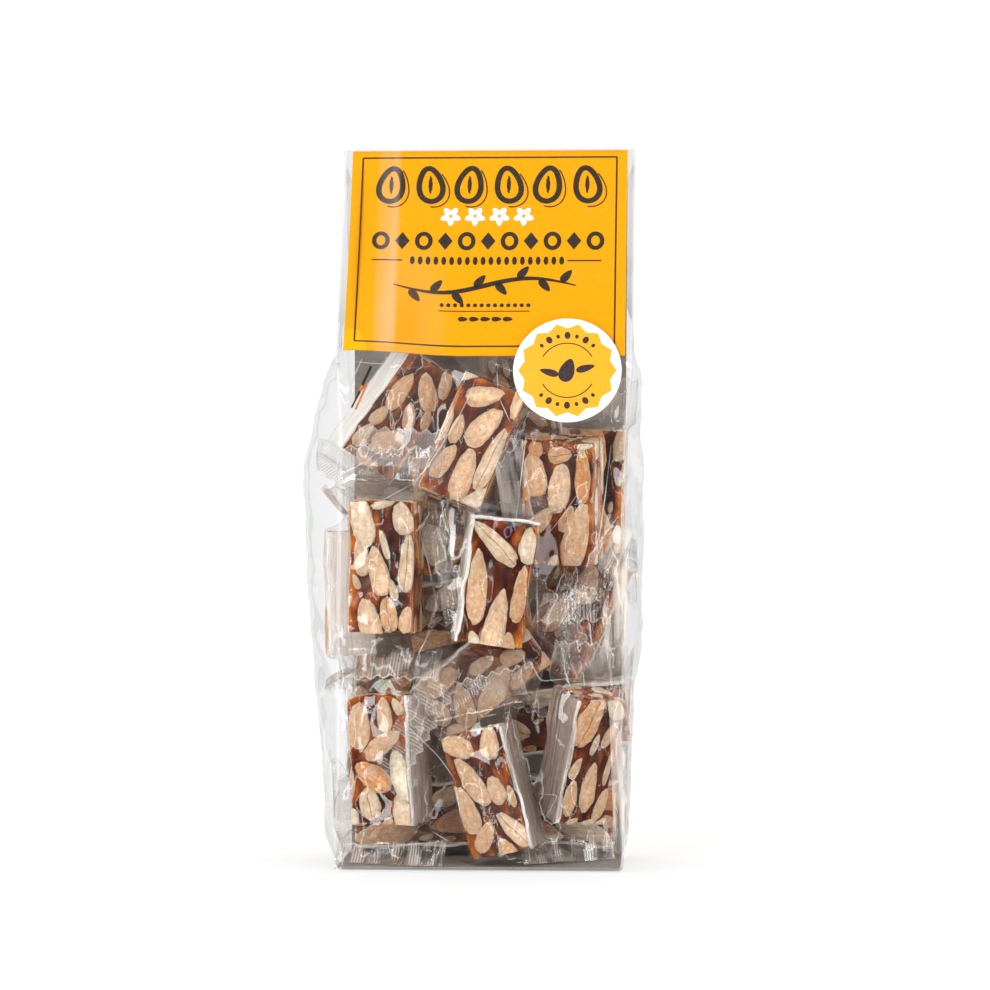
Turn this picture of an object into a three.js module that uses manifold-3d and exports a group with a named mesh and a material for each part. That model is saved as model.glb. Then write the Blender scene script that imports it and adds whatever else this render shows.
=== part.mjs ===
// A clear block-bottom sweets bag, shut over a folded card and filled with wrapped almond nougat blocks.
// Millimetres, +Z up. The bag stands on its base and faces -Y. The origin is on the floor, under the
// middle of the base. The film and the sweets in it are one solid, whose front is pulled over the blocks
// and over the card's label panel.
import * as THREE from "three";
import { mergeVertices } from "three/addons/utils/BufferGeometryUtils.js";
import Module from "manifold-3d";

const wasm = await Module();
wasm.setup();

// --- Driving dimensions -------------------------------------------------------------------------

const GAP = 0.3; // between neighbouring pieces
const FILM_SKIN = 0.5; // what the bag's solid keeps in front of the card and under it
const CARD_WIDTH = 79.5;
const CARD_THICKNESS = 0.5;
const CARD_LIFT = FILM_SKIN + GAP;
const CARD_TOP = 205.3;
const BASE_DEPTH = 44; // the card's base, front to back
const HEADER_FOOT_Z = 145; // the lower edge of the label panel
const HEADER_FOOT_Y = -12;
const HEADER_TOP_Y = 7.4;
const BACK_Y = 22; // the card's back panel, up to where it bends forward
const BACK_BEND_Z = 70;
const BACK_TOP_Y = 8.6;
const FOLD_RADIUS = 1; // of the card's two folds
const SWAY = 1.8; // how far the pack's top leans to its right

const FILM_TOP = CARD_TOP - 0.5; // where the bag is folded shut, beside the card's top fold

const STICKER_RADIUS = 15.3;
const STICKER_THICKNESS = 0.25;
const STICKER_CENTRE = new THREE.Vector3(24.8, -14.9, 140.8);
const STICKER_TILT = THREE.MathUtils.degToRad(15); // its top leans back

// A nougat block. Its width lies between its two wafers, and its length is the longest side.
const BLOCK_WIDTH = 18.5;
const BLOCK_DEPTH = 14;
const BLOCK_LENGTH = 35;
const WRAP_SLACK = 0.8; // film and wrapper over a block's face

// Each block's centre in mm, its lean to the right, turn about the vertical and pitch in degrees, and its
// length and width where they aren't the usual ones.
const BLOCKS = [
  { at: [-26.6, -15, 85.5], lean: 1, turn: -8, pitch: 3, long: 37 },
  { at: [4.4, -16, 81.5], lean: 8, turn: 8, pitch: 1, long: 36, wide: 19 },
  { at: [-25.5, -14.5, 31], lean: -3, turn: -20, pitch: 0, long: 36 },
  { at: [28.1, -11.5, 32], lean: 3, turn: 33, pitch: 14, long: 36, wide: 15.5 },
  { at: [3.9, -14.8, 22.3], lean: -14, turn: -12, pitch: 0 },
  { at: [-0.4, -1.2, 53.8], lean: 52, turn: 0, pitch: 0, long: 36 },
  { at: [26, 13.5, 71], lean: 26, turn: 0, pitch: 0 },
  { at: [23.1, -6, 104.5], lean: 2, turn: -10, pitch: 12, wide: 20.5 },
  { at: [-2, -10.8, 120], lean: 22, turn: -6, pitch: -10 },
  { at: [-26, -1, 130], lean: 35, turn: 6, pitch: 0 },
  { at: [11, 8.3, 135], lean: -12, turn: 6, pitch: 0 },
  { at: [-38, 5, 77.5], lean: -1, turn: -86, pitch: 0 },
  { at: [24, 14, 41], lean: 83, turn: 0, pitch: 0 },
  { at: [-7, 5, 103.5], lean: -26, turn: 0, pitch: 0 },
  { at: [-29.3, 13.5, 41], lean: 4, turn: 0, pitch: 0 },
  { at: [-20, 13, 13], lean: 88, turn: 0, pitch: 0 },
  { at: [20, 12, 14.5], lean: -86, turn: 0, pitch: 0 },
  { at: [-5, 14, 73], lean: 78, turn: 0, pitch: 0 },
  { at: [31, 12.3, 106], lean: 2, turn: 0, pitch: 0 },
];

// How far each side gusset stands out past the corner edges, as [height, reach] pairs.
const LEFT_BULGE = [[0, 0], [9, 4.6], [48, 8], [78, 11], [112, 10.8], [125, 7], [138, 4], [147, 0.3]];
const RIGHT_BULGE = [[0, 0], [9, 1.4], [48, 3], [65, 5], [112, 5.2], [138, 3.2], [147, 0.3]];
// Half the width between the bag's corner edges, and the y of its front corner edges, as [height, mm] pairs.
const CORNER_HALF = [[0, 40.6], [20, 40], [125, 40], [142, 41.6], [CARD_TOP, 42]];
const CORNER_Y = [[0, -22.8], [20, -21], [110, -18.5], [144, -14]];

// The bag's mesh.
const FRONT_STEPS = 32;
const SIDE_STEPS = 6;
const BACK_STEPS = 6;
const LEVELS = 60;
const PULL_ROUNDS = 600; // rounds of pulling the front film taut
const SINK = 0.05; // how far the film sinks between blocks in each round, mm
const BASE_BELLY = 0.6; // how far the front edge of the base stands out in its middle
const FOOT_COVER = 4; // how far below the label's foot the film still stands clear of it

// --- Helpers ------------------------------------------------------------------------------------

// The value at height z on the broken line through a list of [height, value] pairs.
function atHeight(pairs, z) {
  const above = pairs.findIndex(([height]) => height >= z);
  if (above <= 0) return pairs[above === 0 ? 0 : pairs.length - 1][1];
  const [[z0, v0], [z1, v1]] = [pairs[above - 1], pairs[above]];
  return THREE.MathUtils.lerp(v0, v1, (z - z0) / (z1 - z0));
}

// How far to its right the pack has leaned at height z.
function swayAt(z) {
  return (SWAY * z) / CARD_TOP;
}

// The middle of the label panel's sheet at height z.
function headerY(z) {
  return THREE.MathUtils.mapLinear(z, HEADER_FOOT_Z, CARD_TOP, HEADER_FOOT_Y, HEADER_TOP_Y);
}

// The middle of the back panel's sheet: upright, then curving forward to the top fold.
function backY(z) {
  const bend = Math.max(0, (z - BACK_BEND_Z) / (CARD_TOP - BACK_BEND_Z));
  return BACK_Y - (BACK_Y - BACK_TOP_Y) * bend * bend;
}

function solidOf(geometry) {
  geometry.deleteAttribute("normal");
  geometry.deleteAttribute("uv");
  const merged = mergeVertices(geometry, 1e-4);
  return new wasm.Manifold(
    new wasm.Mesh({
      numProp: 3,
      vertProperties: merged.attributes.position.array,
      triVerts: new Uint32Array(merged.index.array),
    }),
  );
}

function geometryOf(solid) {
  const made = solid.getMesh();
  const geometry = new THREE.BufferGeometry();
  geometry.setAttribute("position", new THREE.BufferAttribute(made.vertProperties, 3));
  geometry.setIndex(new THREE.BufferAttribute(made.triVerts, 1));
  geometry.computeVertexNormals();
  return geometry;
}

// --- The card: base, back panel and label panel, folded from one sheet ---------------------------

// The sheet's middle line, seen from the side, as (y, z) points from the base's front to the label's foot.
function cardLine() {
  const base = CARD_LIFT + CARD_THICKNESS / 2;
  const line = [new THREE.Vector2(BACK_Y - BASE_DEPTH, base)];
  const bends = 4;
  for (let k = 0; k <= bends; k += 1) {
    const angle = (k / bends) * (Math.PI / 2);
    const [along, up] = [Math.sin(angle) - 1, 1 - Math.cos(angle)];
    line.push(new THREE.Vector2(BACK_Y + FOLD_RADIUS * along, base + FOLD_RADIUS * up));
  }
  const rises = 14;
  for (let k = 0; k <= rises; k += 1) {
    const z = THREE.MathUtils.lerp(BACK_BEND_Z, CARD_TOP - FOLD_RADIUS, k / rises);
    line.push(new THREE.Vector2(backY(z), z));
  }
  line.push(new THREE.Vector2((BACK_TOP_Y + HEADER_TOP_Y) / 2, CARD_TOP - CARD_THICKNESS / 2));
  line.push(new THREE.Vector2(headerY(CARD_TOP - FOLD_RADIUS), CARD_TOP - FOLD_RADIUS));
  line.push(new THREE.Vector2(HEADER_FOOT_Y, HEADER_FOOT_Z));
  return line;
}

// A sheet that follows the card's line: thickness across it, width along X, and reach past its two ends.
function cardSheet(thickness, width, reach) {
  const line = cardLine();
  const last = line.length - 1;
  const side = (sign) =>
    line.map((point, k) => {
      const along = line[Math.min(k + 1, last)].clone().sub(line[Math.max(k - 1, 0)]).normalize();
      const across = new THREE.Vector2(-along.y, along.x).multiplyScalar((sign * thickness) / 2);
      const end = k === 0 ? -reach : k === last ? reach : 0;
      return point.clone().add(across).addScaledVector(along, end);
    });
  const shape = new THREE.Shape([...side(1), ...side(-1).reverse()]);
  const geometry = new THREE.ExtrudeGeometry(shape, { depth: width, bevelEnabled: false });
  geometry.translate(0, 0, -width / 2);
  // The shape's x is the part's y, its y is z, and the extrusion runs along x, with the sway.
  const alongX = new THREE.Vector3(1, 0, 0);
  const upright = new THREE.Vector3(swayAt(1), 0, 1);
  geometry.applyMatrix4(new THREE.Matrix4().makeBasis(new THREE.Vector3(0, 1, 0), upright, alongX));
  return geometry;
}

// --- The bag: one closed solid, with its front pulled over the blocks ----------------------------

// Each block as a box in its own frame, with the matrix that leads from the bag's frame into it.
function placedBlocks() {
  const radians = (degrees) => THREE.MathUtils.degToRad(degrees);
  return BLOCKS.map(({ at, lean, turn, pitch, long = BLOCK_LENGTH, wide = BLOCK_WIDTH }) => {
    const turned = new THREE.Matrix4()
      .makeRotationY(radians(lean))
      .multiply(new THREE.Matrix4().makeRotationZ(radians(turn)))
      .multiply(new THREE.Matrix4().makeRotationX(radians(pitch)));
    const half = new THREE.Vector3(wide, BLOCK_DEPTH, long).multiplyScalar(0.5);
    const box = new THREE.Box3(half.clone().negate(), half);
    return { box, inwards: turned.setPosition(...at).invert() };
  });
}

// The lowest y at which a line along +Y through (x, z) meets a wrapped block, or Infinity.
function blockFront(blocks, x, z) {
  const start = -100;
  let front = Infinity;
  for (const { box, inwards } of blocks) {
    const ray = new THREE.Ray(new THREE.Vector3(x, start, z), new THREE.Vector3(0, 1, 0));
    ray.applyMatrix4(inwards);
    const hit = ray.intersectBox(box, new THREE.Vector3());
    if (hit) front = Math.min(front, start + hit.distanceTo(ray.origin) - WRAP_SLACK);
  }
  return front;
}

// Where the film lies over the label panel.
function filmOverLabel(z) {
  return headerY(z) - CARD_THICKNESS / 2 - GAP - FILM_SKIN;
}

// The film stays behind this y, to leave the sticker its room.
function stickerRoom(x, z) {
  const away = Math.hypot(x - STICKER_CENTRE.x, z - STICKER_CENTRE.z);
  const back = STICKER_CENTRE.y + Math.tan(STICKER_TILT) * (z - STICKER_CENTRE.z);
  return away < STICKER_RADIUS + 3 ? back + STICKER_THICKNESS / 2 + GAP : -Infinity;
}

// The y of the bag's front corner edges.
function cornerY(z) {
  return z < HEADER_FOOT_Z ? atHeight(CORNER_Y, z) : filmOverLabel(z);
}

// The front film as rows of y values: a sheet pulled taut between the bag's edges and over the blocks,
// which sinks in between them.
function pulledFront(xs, zs) {
  const blocks = placedBlocks();
  const middle = (i) => i > 0 && i < FRONT_STEPS;
  const belly = (i, j) => (j === 0 && middle(i) ? BASE_BELLY : 0);
  const rows = zs.map((z, j) => xs[j].map((_, i) => cornerY(z) - belly(i, j)));
  const foot = (z) => (z > HEADER_FOOT_Z - FOOT_COVER ? filmOverLabel(HEADER_FOOT_Z) : Infinity);
  const fronts = zs.map((z, j) => xs[j].map((x) => Math.min(blockFront(blocks, x, z), foot(z))));
  const limits = zs.map((z, j) => xs[j].map((x) => stickerRoom(x, z)));
  const free = zs.findIndex((z) => z >= HEADER_FOOT_Z);
  for (let round = 0; round < PULL_ROUNDS; round += 1) {
    for (let j = 1; j < free; j += 1) {
      for (let i = 1; i < FRONT_STEPS; i += 1) {
        const taut = (rows[j - 1][i] + rows[j + 1][i] + rows[j][i - 1] + rows[j][i + 1]) / 4;
        rows[j][i] = Math.max(Math.min(taut + SINK, fronts[j][i]), limits[j][i]);
      }
    }
  }
  return rows;
}

// One side gusset's points between a front corner and a back corner, bulging outwards.
function gusset(from, to, reach) {
  const points = [];
  for (let k = 1; k < SIDE_STEPS; k += 1) {
    const share = k / SIDE_STEPS;
    points.push([
      THREE.MathUtils.lerp(from[0], to[0], share) + reach * Math.sin(Math.PI * share),
      THREE.MathUtils.lerp(from[1], to[1], share),
    ]);
  }
  return points;
}

function bagGeometry() {
  const zs = Array.from({ length: LEVELS + 1 }, (_, j) => (j / LEVELS) * FILM_TOP);
  const xs = zs.map((z) => {
    const half = atHeight(CORNER_HALF, z);
    const across = (_, i) => swayAt(z) + ((2 * i) / FRONT_STEPS - 1) * half;
    return Array.from({ length: FRONT_STEPS + 1 }, across);
  });
  const front = pulledFront(xs, zs);
  const rings = zs.map((z, j) => {
    const back = backY(z) - CARD_THICKNESS / 2 - GAP;
    const ring = xs[j].map((x, i) => [x, front[j][i]]);
    const [left, right] = [ring[0], ring[FRONT_STEPS]];
    ring.push(...gusset(right, [right[0], back], atHeight(RIGHT_BULGE, z)));
    for (let k = 0; k <= BACK_STEPS; k += 1) {
      ring.push([THREE.MathUtils.lerp(right[0], left[0], k / BACK_STEPS), back]);
    }
    ring.push(...gusset([left[0], back], left, -atHeight(LEFT_BULGE, z)));
    return ring.map(([x, y]) => [x, y, z]);
  });
  return loft(rings);
}

// A closed surface through rings of equally many points, with a fan over each end.
function loft(rings) {
  const count = rings[0].length;
  const middle = (ring) => [0, ring.reduce((sum, point) => sum + point[1], 0) / count, ring[0][2]];
  const points = [...rings.flat(), middle(rings[0]), middle(rings[rings.length - 1])];
  const faces = [];
  for (let j = 0; j < rings.length - 1; j += 1) {
    for (let i = 0; i < count; i += 1) {
      const [a, b] = [j * count + i, j * count + ((i + 1) % count)];
      faces.push(a, b, b + count, a, b + count, a + count);
    }
  }
  const low = rings.length * count;
  const top = (rings.length - 1) * count;
  for (let i = 0; i < count; i += 1) {
    const next = (i + 1) % count;
    faces.push(low, next, i, low + 1, top + i, top + next);
  }
  const geometry = new THREE.BufferGeometry();
  geometry.setAttribute("position", new THREE.Float32BufferAttribute(points.flat(), 3));
  geometry.setIndex(faces);
  return geometry;
}

// --- The assembled object -----------------------------------------------------------------------

function meshOf(name, geometry, material) {
  const mesh = new THREE.Mesh(geometry, new THREE.MeshStandardMaterial(material));
  mesh.name = name;
  return mesh;
}

function bag() {
  const slot = solidOf(cardSheet(CARD_THICKNESS + 2 * GAP, CARD_WIDTH + 2 * GAP, GAP));
  const cut = solidOf(bagGeometry()).subtract(slot);
  const largest = cut.decompose().reduce((a, b) => (a.volume() > b.volume() ? a : b));
  return meshOf("bag", geometryOf(largest), { color: 0xb98a5c, roughness: 0.15, metalness: 0 });
}

function card() {
  const sheet = cardSheet(CARD_THICKNESS, CARD_WIDTH, 0);
  return meshOf("card", sheet, { color: 0xffb800, roughness: 0.55, metalness: 0 });
}

function sticker() {
  const disc = new THREE.CylinderGeometry(STICKER_RADIUS, STICKER_RADIUS, STICKER_THICKNESS, 64);
  const mesh = meshOf("sticker", disc, { color: 0xffffff, roughness: 0.4, metalness: 0 });
  mesh.position.copy(STICKER_CENTRE);
  mesh.rotation.x = -STICKER_TILT;
  return mesh;
}

const pack = new THREE.Group();
pack.add(bag(), card(), sticker());

export default pack;
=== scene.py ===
import math
from collections import namedtuple

import bmesh
import bpy
import numpy as np
from mathutils import Matrix, Vector


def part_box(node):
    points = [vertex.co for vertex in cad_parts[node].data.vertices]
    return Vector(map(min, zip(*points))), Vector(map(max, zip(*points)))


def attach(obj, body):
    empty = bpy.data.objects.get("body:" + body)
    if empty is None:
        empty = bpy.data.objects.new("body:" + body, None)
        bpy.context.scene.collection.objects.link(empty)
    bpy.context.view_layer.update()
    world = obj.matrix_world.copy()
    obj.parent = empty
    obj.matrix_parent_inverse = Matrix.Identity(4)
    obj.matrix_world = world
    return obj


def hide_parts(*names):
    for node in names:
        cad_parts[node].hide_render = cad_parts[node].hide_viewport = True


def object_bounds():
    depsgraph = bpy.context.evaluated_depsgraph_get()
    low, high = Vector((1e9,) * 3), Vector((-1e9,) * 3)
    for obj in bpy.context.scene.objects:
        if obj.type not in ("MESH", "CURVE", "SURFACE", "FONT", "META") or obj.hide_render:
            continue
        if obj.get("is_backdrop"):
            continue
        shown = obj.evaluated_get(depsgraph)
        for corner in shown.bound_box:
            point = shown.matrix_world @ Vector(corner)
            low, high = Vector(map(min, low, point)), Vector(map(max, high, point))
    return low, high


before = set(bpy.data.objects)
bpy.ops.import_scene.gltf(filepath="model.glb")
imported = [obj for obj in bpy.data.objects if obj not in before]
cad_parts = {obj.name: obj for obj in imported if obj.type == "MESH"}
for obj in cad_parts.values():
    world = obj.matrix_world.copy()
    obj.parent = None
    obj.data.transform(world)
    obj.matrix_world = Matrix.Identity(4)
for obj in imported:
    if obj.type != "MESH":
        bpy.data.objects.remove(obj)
cad_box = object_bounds()

# A clear bag of wrapped almond nougat blocks. The film, the blocks and their wrappers stand for the
# part's bag. Lengths are in millimetres until a mesh is made, which is in metres. +Z is up, and the bag
# faces -Y.

MM = 0.001

# --- Sizes --------------------------------------------------------------------------------------

card_low, card_high = (np.array(corner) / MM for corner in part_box("card"))
sticker_low, sticker_high = (np.array(corner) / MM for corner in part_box("sticker"))

GAP = 0.3  # the film clears the card by this
SWAY = 1.8  # how far the pack's top leans to its right
BOARD = 0.5  # the card's thickness
CARD_TOP = card_high[2]
CARD_WIDTH = card_high[0] - card_low[0] - SWAY
BASE_FRONT = card_low[1]
BASE_Z = card_low[2] + BOARD / 2
BACK_Y = card_high[1] - BOARD / 2
BACK_BEND_Z = 70
BACK_TOP_Y = 8.6
HEADER_FOOT_Z = 145
HEADER_FOOT_Y = -12
HEADER_TOP_Y = 7.4
HEADER_SLOPE = (HEADER_TOP_Y - HEADER_FOOT_Y) / (CARD_TOP - HEADER_FOOT_Z)
HEADER_LENGTH = (CARD_TOP - HEADER_FOOT_Z) * math.hypot(1, HEADER_SLOPE)
CURL = 5.0  # how far the label's lower left corner curls forward
FOLD_RADIUS = 1  # of the fold between the base and the back panel
SHEET_HALF = 0.45 * BOARD  # from the card's middle line to its faces, a little less than half its thickness
LABEL_PRINT = BOARD / 2 + 0.06  # from the card's middle line to its print

FILM_FOOT = 0.15
FILM_TOP = CARD_TOP + 0.5
FILM_LEVELS = [(24, 60, 400), (48, 120, 240), (120, 288, 160)]  # columns, rows and rounds, coarse to fine
FILM_CURVE = 0.022  # how sharply the film sinks between blocks, for each millimetre
FILM_EASE = 1.6  # how far each point moves towards its neighbours' mean in a round
WRAP_SLACK = 0.9  # between a block's face and the film over it
LABEL_ROOM = BOARD / 2 + GAP + 0.35  # from the label panel's middle line to the film over it
BEHIND_FILM = 0.45  # how far wrappers stay behind the front film
BAG_DEPTH = 44
GUSSET_STEPS = 26
BACK_STEPS = 30
BACK_SEAM = (13, 18)  # the steps across the back that the bag's seam covers
# How far each side gusset stands out past the corner edges, half the width between these edges, and the y of
# the front ones, as [height, mm] pairs.
LEFT_BULGE = [[0, 0], [9, 4.6], [48, 8], [78, 11], [104, 12.2], [114, 12.5], [125, 10], [138, 6], [147, 0.5]]
RIGHT_BULGE = [[0, 0], [9, 1.4], [48, 3], [65, 5], [112, 5.2], [138, 3.2], [147, 0.3]]
CORNER_HALF = [[0, 40.6], [20, 40], [125, 40], [142, 41.6], [CARD_TOP, 42]]
CORNER_Y = [[0, -22.8], [20, -21], [110, -18.5], [144, -14]]

STICKER_CENTRE = (sticker_low + sticker_high) / 2
STICKER_RADIUS = (sticker_high[0] - sticker_low[0]) / 2
STICKER_SLOPE = math.tan(math.radians(15))
SEAL_SIDES = 96

BLOCK_DEPTH = 14
WAFER = 0.9
ALMOND_GAP = 0.16  # the least between two almonds
ALMOND_DOME = 0.3  # how much of its own height an almond keeps where it stands out of a block
LEFT, RIGHT, TOP = (0, -1), (0, 1), (2, 1)  # a block's sides, as an axis and a way along it
# Centre, size across and along, lean to the right, turn about the vertical, pitch, how far the wrapper's low
# and high ends are folded forward, the sides that a wafer covers, and the sides of bare caramel. The angles
# are in degrees. Then, from 0 to 1: how much painted shade darkens the wafers towards the block's back, how
# milky the wrapper is, and how bright the painted highlights on the ribs of its low and high ends are. The
# first ones lie in front.
Block = namedtuple(
    "Block",
    "at width length lean turn pitch low_fold high_fold wafers plain brown veil low_ribs high_ribs",
    defaults=[(), 0.1, 0.02, 0.25, 0.25],
)
BLOCKS = [
    Block((-26.6, -15, 85.5), 18.5, 37, 1, -8, 3, 42, 8, (), (RIGHT,), veil=0, low_ribs=0.5),
    Block((4.4, -16, 81.5), 19, 36, 8, 8, 1, -35, -60, (LEFT, TOP), (RIGHT,), brown=0, veil=0),
    Block((-25.5, -14.5, 31), 18.5, 36, -3, -20, 0, 30, -70, (RIGHT,), brown=0.85, veil=0, low_ribs=0.7),
    Block((28.1, -11.5, 32), 15.5, 36, 3, 33, 14, 30, 6, (LEFT,), brown=0.95, veil=0.01, low_ribs=0.9),
    Block((3.9, -14.8, 22.3), 18.5, 35, -14, -12, 0, -60, 20, (RIGHT,), brown=0.95, veil=0.02),
    Block((-0.4, -1.2, 53.8), 18.5, 36, 52, 0, 0, 60, 40, (LEFT,), veil=0.015),
    Block((26, 12.1, 71), 18.5, 35, 26, -8, 0, 40, 60, (), (RIGHT,), veil=0),
    Block((23.1, -6, 104.5), 20.5, 35, 2, -10, 12, -50, -40, (), veil=0.015, low_ribs=0.05),
    Block((-2, -10.8, 120), 18.5, 35, 22, -2, -10, -50, 20, (), veil=0.035),
    Block((-25, -1, 130), 18.5, 35, 35, 20, 0, -60, 40, (LEFT,), brown=0, veil=0.06, low_ribs=0.05),
    Block((10.3, 7.5, 136), 18.5, 35, -12, 6, 0, 30, 30, (RIGHT,)),
    Block((-38, 5, 77.5), 18.5, 35, -1, -86, 0, 60, 40, (LEFT, RIGHT), veil=0.06),
    Block((24, 13.5, 41), 18.5, 35, 83, 0, 0, -20, 20, (LEFT, RIGHT)),
    Block((-9.5, 5, 101), 18.5, 35, -8, 0, 0, -20, 30, ()),
    Block((-29.3, 13.5, 41), 18.5, 35, 4, 0, 0, 40, -30, (LEFT, RIGHT)),
    Block((-20, 13, 13), 18.5, 35, 88, 0, 0, 30, -20, (LEFT, RIGHT)),
    Block((20, 12, 14.5), 18.5, 35, -86, 0, 0, 20, 25, (LEFT, RIGHT)),
    Block((-5, 13.4, 73), 18.5, 35, 78, 0, 0, -30, 30, (LEFT,)),
    Block((31, 11.6, 107), 18.5, 35, 2, 0, 0, 20, 20, (LEFT,)),
]
# Ends of wrappers that lie loose behind the bag's front: middle (x, z), lean in degrees, length, width, how
# milky they are, and how bright the painted highlights on their ribs are, or None for a smooth end.
FLAPS = [
    ((-19.5, 38.9), -30, 34, 9.5, 0.04, 0.4),
    ((9.6, 109), 9, 27, 8.5, 0.26, None),
    ((-8.6, 84), 9, 40, 6, 0.12, None),
    ((-22, 118.4), 86.5, 25.5, 10, 0.16, 0.12),
    ((30, 61), 8, 22, 13, 0.05, None),
    ((37.2, 91), 155, 17, 8, 0.4, None),
    ((38.6, 74), 176, 34, 6, 0.5, None),
    ((26.2, 74.5), -88, 20, 7.5, 0.03, 0.3),
    ((39, 29), 2, 50, 3.4, 0.6, None),
]

# The almonds in the front faces of the blocks that show best, as they lie there: across and up from the
# face's middle, lean in degrees, length, width, and how roasted from 0 to 1.
FRONT_ALMONDS = {
    0: [
        (-5.4, 13.5, -8, 16, 6.4, 0.2), (-5.9, 2.7, -7, 11, 4.4, 0.35), (-0.7, -1.4, -15, 14, 5.8, 0.5),
        (0.9, 6.3, -17, 9, 2, 0.1), (6.4, 13.6, -8, 9.5, 5.6, 0.25), (7.6, 1.2, 3, 15.6, 4.6, 0.3),
        (3.9, -6.2, -20, 6, 2.4, 0.3), (-3, -15.6, -14, 14, 6.8, 0.4), (2.7, -13.2, -10, 9.4, 5.3, 0.7),
        (7.9, -14.4, 12, 7.6, 4, 0.55), (-7.2, -4.3, -25, 4.6, 2, 0.4), (1.2, 18, 75, 7, 2.6, 0.2),
    ],
    1: [
        (-2, 10.4, -50, 17, 5.3, 0.3), (-5.5, -2.2, -4, 21, 5.7, 0.6), (7.4, 10.8, -4, 10.6, 4.8, 0.15),
        (7.1, -3, 3, 16, 4.1, 0.75), (1.2, -12.4, 7, 20, 6.6, 0.5), (5.6, -17, -4, 7, 3.6, 0.6),
        (-4.4, -17, -30, 5, 3, 0.1),
    ],
    2: [
        (-5.8, 10, 6, 13, 6.8, 0.5), (2.2, 12.4, -3, 9.6, 4.7, 0.4), (1.1, 4.4, 57, 12.8, 5.2, 0.55),
        (-2.5, -4.5, -58, 12.6, 6.8, 0.95), (6.4, -4, -14, 14.6, 6.4, 0.05), (-3.9, -12, -12, 10, 6, 0.3),
        (6.2, -15.5, -12, 12, 6.4, 0.25), (1.4, -18, 30, 4, 3, 0.6), (6.3, 15, -30, 5, 2.8, 0.2),
    ],
    3: [
        (-3.4, 12.2, 18, 15, 6.8, 0.7), (-0.2, 5.6, 12, 6, 2, 0.3), (3.9, 8.6, 24, 8.6, 3, 0.5),
        (-4.8, -1.3, 20, 6.6, 2.9, 0.5), (-4.6, -10.2, 0, 11, 4.2, 0.65), (0.8, -7, 2, 14, 4.9, 0.6),
        (5.9, -1, 3, 10, 1.8, 0.3), (5.8, -12, 15, 10.4, 3.2, 0.55), (4.2, 16, -30, 7, 4.6, 0.15),
        (-2.8, -17.4, 60, 4, 2, 0.5), (2.6, -17.6, 70, 5, 2, 0.2),
    ],
    4: [
        (-3.7, 4, -22, 15, 5.6, 0.6), (-7.4, -3.6, -9, 14.6, 6, 0.55), (2.7, 0.5, -5, 8.8, 5, 0.45),
        (6.8, -1.8, -3, 6.6, 2.2, 0.8), (5.2, -11.4, -36, 13.4, 5.2, 0.3), (-3.8, -12, 35, 9.6, 4.8, 0.6),
        (1.6, -17, -20, 8, 5, 0.75), (-5.6, 14.4, -60, 11, 5.6, 0.6), (4.4, 13.6, 12, 9, 5.4, 0.5),
    ],
    5: [
        (-5.6, -10.6, 7, 13.4, 6.4, 0.55), (3.9, -8.5, -64, 12.8, 6, 0.45), (6, 0.6, -27, 17.4, 6.6, 0.5),
        (-2, 2.8, 3, 7.8, 3.8, 0.35), (7.2, 9.6, -17, 9.4, 4, 0.6), (1.1, -15.2, -84, 8, 5, 0.55),
        (8.2, -14.6, 10, 5.8, 5.2, 0.05), (-4.6, -18, 20, 6, 3, 0.1), (1.4, 10.8, 20, 7, 4.4, 0.4),
    ],
    6: [(0.6, 9.4, -10, 12, 6.6, 0.6), (-4, -2, 12, 11, 5, 0.5)],
    7: [
        (-6.6, 8, -8, 12.6, 6.6, 0.6), (-6.2, 16, 10, 5.4, 3.8, 0.9), (0.6, 14.3, 80, 7, 4.8, 0.7),
        (0.7, 4.6, 5, 14.4, 6.5, 0.4), (3.1, -4.4, 26, 8, 3, 0.7), (7.2, 8.4, -2, 16, 4.5, 1),
        (5.6, -9.2, 16, 18.4, 7, 0.55), (-5, -5.6, 45, 10.6, 5.4, 0.5), (-1, -17.2, 20, 5, 3, 0.4),
        (7.8, 17, 80, 4.6, 2.2, 0.1),
    ],
    8: [
        (-1.5, 12.8, 62, 10.8, 6, 0.55), (2, 4.6, 22, 13, 6.8, 0.5), (-5, 1.4, 0, 8.6, 3.6, 0.6),
        (-5, -8.4, 14, 11.6, 4.7, 0.6), (1.6, -10, -2, 15.2, 6.2, 0.55), (7.3, -3.4, 5, 18.6, 4.6, 0.3),
        (7.4, -15.6, 38, 10, 4.6, 0.15),
    ],
    9: [
        (-4, 5.6, 0, 12, 5.2, 0.65), (3, 9.8, -46, 12, 5.2, 0.6), (6, 15, -22, 10, 3.6, 0.5),
        (2.6, 1, -30, 8.6, 3.8, 0.4), (7.4, 3, -20, 6, 3, 0.5), (-5, -3.6, 10, 7, 3.6, 0.5),
        (1.6, -8.6, 40, 10.6, 6.4, 0.6), (-5.6, -11, 5, 8, 4, 0.3),
    ],
}
# The other almonds are drawn from the longest to the shortest: how many tries, the shortest and the longest.
ALMOND_SIZES = [(80, 15, 20), (200, 11, 15), (380, 8, 11), (380, 5, 8), (120, 3, 4.5)]
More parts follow.
